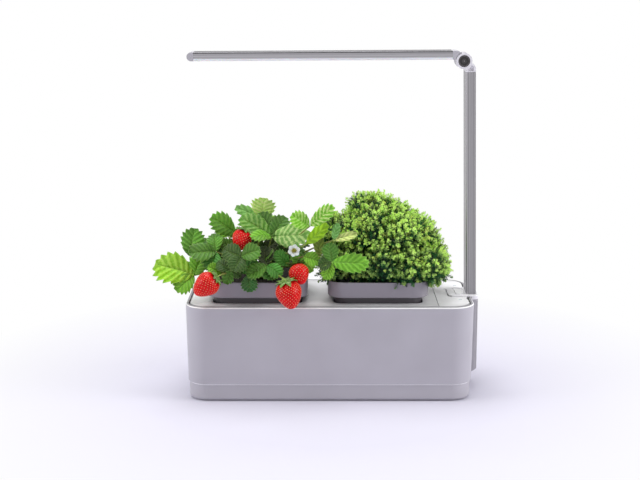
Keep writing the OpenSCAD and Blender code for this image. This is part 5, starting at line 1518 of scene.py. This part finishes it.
@dataclass
class HerbBush:
    """The bushy herb: a heart of overlapping mounds, dark as painted shade, covered with leafy sprigs; in
    millimetres.

    Each mound has its middle and radius, and each whorl of a sprig its height, how far its leaves reach, how
    steeply they rise and how pale they are.
    """

    collar_top: float = 145.6
    inset: float = 9.0
    distance: float = 3.2
    shaded_distance: float = 3.6
    voxel: float = 2.6
    lump_height: float = 16.0
    lump_size: float = 20.0
    leaf_half: float = 0.72
    leaves_per_whorl: int = 3
    seed: int = 5
    mounds: tuple[tuple[Point, float], ...] = (
        ((60, 2, 188), 54), ((52, 0, 217), 32), ((22, -6, 190), 33), ((14, -16, 166), 25), ((94, 0, 198), 30),
        ((112, -6, 192), 27), ((123, -10, 163), 27), ((122, -42, 160), 27), ((34, -40, 160), 25),
        ((4, -6, 194), 26), ((6, -38, 156), 23), ((62, -44, 161), 28), ((92, -45, 161), 28),
        ((28, 38, 168), 27), ((64, 42, 172), 29), ((98, 40, 168), 28), ((122, 16, 166), 24),
        ((80, -24, 196), 32), ((40, -20, 196), 30))
    whorls: tuple[tuple[float, float, float, float], ...] = (
        (0.6, 3.4, 0.2, 0.0), (2.4, 3.6, 0.3, 0.1), (4.1, 3.6, 0.4, 0.35), (5.7, 3.6, 0.5, 0.6),
        (7.1, 3.6, 0.7, 0.85), (8.2, 3.2, 1.1, 1.0), (9.0, 2.8, 2.2, 1.0))

    def heart_mesh(self) -> bpy.types.Object:
        """Builds the lumpy surface that the sprigs grow from, dark as painted shade.

        Returns:
            The surface, a closed plain mesh.
        """
        body = bmesh.new()
        for middle, radius in self.mounds:
            bmesh.ops.create_icosphere(body, subdivisions=3, radius=(radius - self.inset) * MM,
                                       matrix=Matrix.Translation(Vector(middle) * MM))
        mesh = bpy.data.meshes.new("herb_heart")
        body.to_mesh(mesh)
        body.free()
        coat(mesh, SHADED_HEART)
        made = add_object("herb_heart", mesh)
        remesh = made.modifiers.new("join", "REMESH")
        remesh.mode = "VOXEL"
        remesh.voxel_size = self.voxel * MM
        lumps = bpy.data.textures.new("lumps", "CLOUDS")
        lumps.noise_scale = self.lump_size * MM
        lumps.noise_depth = 1
        push = made.modifiers.new("lumps", "DISPLACE")
        push.texture = lumps
        push.strength = self.lump_height * MM
        push.mid_level = 0.55
        push.texture_coords = "LOCAL"
        solid = plain_mesh(made, "herb_heart")
        body = bmesh.new()
        body.from_mesh(solid)
        for vertex in body.verts:
            vertex.co.z = max(vertex.co.z, self.collar_top * MM)
        bmesh.ops.recalc_face_normals(body, faces=body.faces)
        body.to_mesh(solid)
        body.free()
        bpy.data.objects.remove(made)
        solid.polygons.foreach_set("use_smooth", [True] * len(solid.polygons))
        return add_object("herb_heart", solid)

    def sprig(self) -> bpy.types.Object:
        """Builds one sprig: a short stem with whorls of narrow pointed leaves, paler towards its top.

        Returns:
            The sprig at the origin, upright.
        """
        skin, rnd = Skin(), Random(self.seed)
        skin.tube([Vector((0, 0, -2)), Vector((0.3, 0, 4)), Vector((0, 0.4, 9))], [0.35, 0.3, 0.15], 3,
                  (0.2, 0.2, 0.2, 0))
        for level, reach, rise, light in self.whorls:
            start = rnd.uniform(0, 6)
            for i in range(self.leaves_per_whorl):
                angle = start + 2 * math.pi * i / self.leaves_per_whorl + rnd.uniform(-0.2, 0.2)
                out = around(angle, 1.0, rise).normalized()
                half = sideways(around(angle)) * self.leaf_half
                root, lift = Vector((0, 0, level)), Vector((0, 0, 0.3))
                middle = root + out * reach * 0.55
                corners = (root, middle - half + lift, middle + half + lift, root + out * reach)
                a, b, c, d = (skin.point(corner, tone=(light, light, light, 0)) for corner in corners)
                skin.faces += [(a, b, d), (a, d, c)]
        return skin.build("herb_sprig", (SPRIG,), smooth=False)

    def make(self) -> None:
        """Builds the heart and the sprigs, and dresses the stems."""
        heart, source = self.heart_mesh(), self.sprig()
        tree = copies_tree(Placing.SCATTER, source, SPRIG, self.seed)
        sizes = {"Distance": self.distance * MM, "Thinning": 0.75, "Least Size": 0.6, "Most Size": 1.15,
                 "Uprightness": 0.3, "Lean": 0.7}
        sprigs = grow_copies("herb_sprigs", heart, tree, sizes, SPRIG)
        tree = copies_tree(Placing.SCATTER, source, SHADED_HEART, self.seed + 10)
        sizes = {"Distance": self.shaded_distance * MM, "Least Size": 0.5, "Most Size": 0.75,
                 "Uprightness": 0.1, "Lean": 0.7}
        shaded_sprigs = grow_copies("herb_shaded_sprigs", heart, tree, sizes, SHADED_HEART)
        bpy.data.objects.remove(source)
        settle(heart, "right_plant", "herb_green", "herb_foliage")
        for piece in (sprigs, shaded_sprigs):
            settle(piece, "right_plant", "herb_green")
        dress(HERB_STEM, "herb_stems")


# ---------------------------------------------------------------- studio


@dataclass
class Studio:
    """The camera, the soft lights, and the pale floor and surroundings; in millimetres and degrees.

    Each light has its name, place, size and power. The floor shows the object's shadow within the first of
    the two shadow reaches, and is plain white to the camera beyond the second.
    """

    camera_place: Point = (-11.98, -1619.9, 518.4)
    camera_pitch: float = 11.615
    lens: float = 75.0
    sensor: float = 36.0
    clip_end: float = 100_000.0
    floor_half: float = 4000.0
    shadow_reach: tuple[float, float] = (230.0, 520.0)
    sky: float = 0.36
    light_target: Point = (0, 0, 150)
    lights: tuple[tuple[str, Point, float, float], ...] = (
        ("overhead", (-150, 150, 1700), 1300, 20.0), ("front", (-500, -1550, 900), 1200, 1.2),
        ("left", (-1400, -350, 700), 900, 8.0), ("right", (1400, -350, 700), 900, 12.0))

    def make_camera(self) -> None:
        """Sets the camera at the viewing angle."""
        data = bpy.data.cameras.new("camera")
        data.lens = self.lens
        data.sensor_width = self.sensor
        data.clip_end = self.clip_end * MM
        camera = add_object("camera", data)
        camera.location = Vector(self.camera_place) * MM
        camera.rotation_euler = (math.radians(90 - self.camera_pitch), 0, 0)
        bpy.context.scene.camera = camera

    def make_floor(self) -> None:
        """Lays a pale floor that keeps the object's shadow and is white to the camera elsewhere."""
        mesh = bpy.data.meshes.new("floor")
        half = self.floor_half * MM
        corners = [(-half, -half, 0), (half, -half, 0), (half, half, 0), (-half, half, 0)]
        mesh.from_pydata(corners, [], [(0, 1, 2, 3)])
        floor = add_object("floor", mesh)
        made = bpy.data.materials.new("floor_white")
        made.use_nodes = True
        graph = Graph(made.node_tree)
        pale = graph.add("ShaderNodeBsdfDiffuse", {"Color": rgb(221, 219, 232)}).outputs[0]
        white = graph.add("ShaderNodeEmission", {"Color": PURE_WHITE, "Strength": 1.0}).outputs[0]
        away = graph.vector("LENGTH", graph.place(), out="Value")
        beyond = graph.spread(away, self.shadow_reach[0] * MM, self.shadow_reach[1] * MM)
        share = graph.math("MULTIPLY", beyond, graph.seen())
        both = graph.add("ShaderNodeMixShader", {0: share, 1: pale, 2: white}).outputs[0]
        graph.add("ShaderNodeOutputMaterial", {"Surface": both})
        mesh.materials.append(made)

    def make_lights(self) -> None:
        """Hangs one large light overhead, a weak one in front and one on each side."""
        for name, place, size, power in self.lights:
            data = bpy.data.lights.new(name, "AREA")
            data.shape = "DISK"
            data.size = size * MM
            data.energy = power
            light = add_object(name, data)
            light.location = Vector(place) * MM
            towards = Vector(self.light_target) - Vector(place)
            light.rotation_euler = towards.to_track_quat("-Z", "Y").to_euler()

    def make_world(self) -> None:
        """Surrounds everything with a soft pale light that the camera sees as white."""
        world = bpy.data.worlds.new("studio")
        bpy.context.scene.world = world
        world.use_nodes = True
        graph = Graph(world.node_tree)
        strength = graph.add("ShaderNodeMix", {0: graph.seen(), 2: self.sky, 3: 1.0}, data_type="FLOAT")
        sockets = {"Color": PURE_WHITE, "Strength": strength.outputs[0]}
        light = graph.add("ShaderNodeBackground", sockets).outputs[0]
        graph.add("ShaderNodeOutputWorld", {"Surface": light})

    def make(self) -> None:
        """Sets up camera, floor, lights and world."""
        self.make_camera()
        self.make_floor()
        self.make_lights()
        self.make_world()
        bpy.context.scene.view_settings.view_transform = "Standard"


def main() -> None:
    """Builds the garden, piece by piece."""
    logging.basicConfig(level=logging.INFO, format="%(message)s")
    for part in (Studio(), Tank(), Lamp(), StrawberryPlant(), HerbBush()):
        log.info("making the %s", type(part).__name__)
        part.make()


if __name__ == "__main__":
    main()
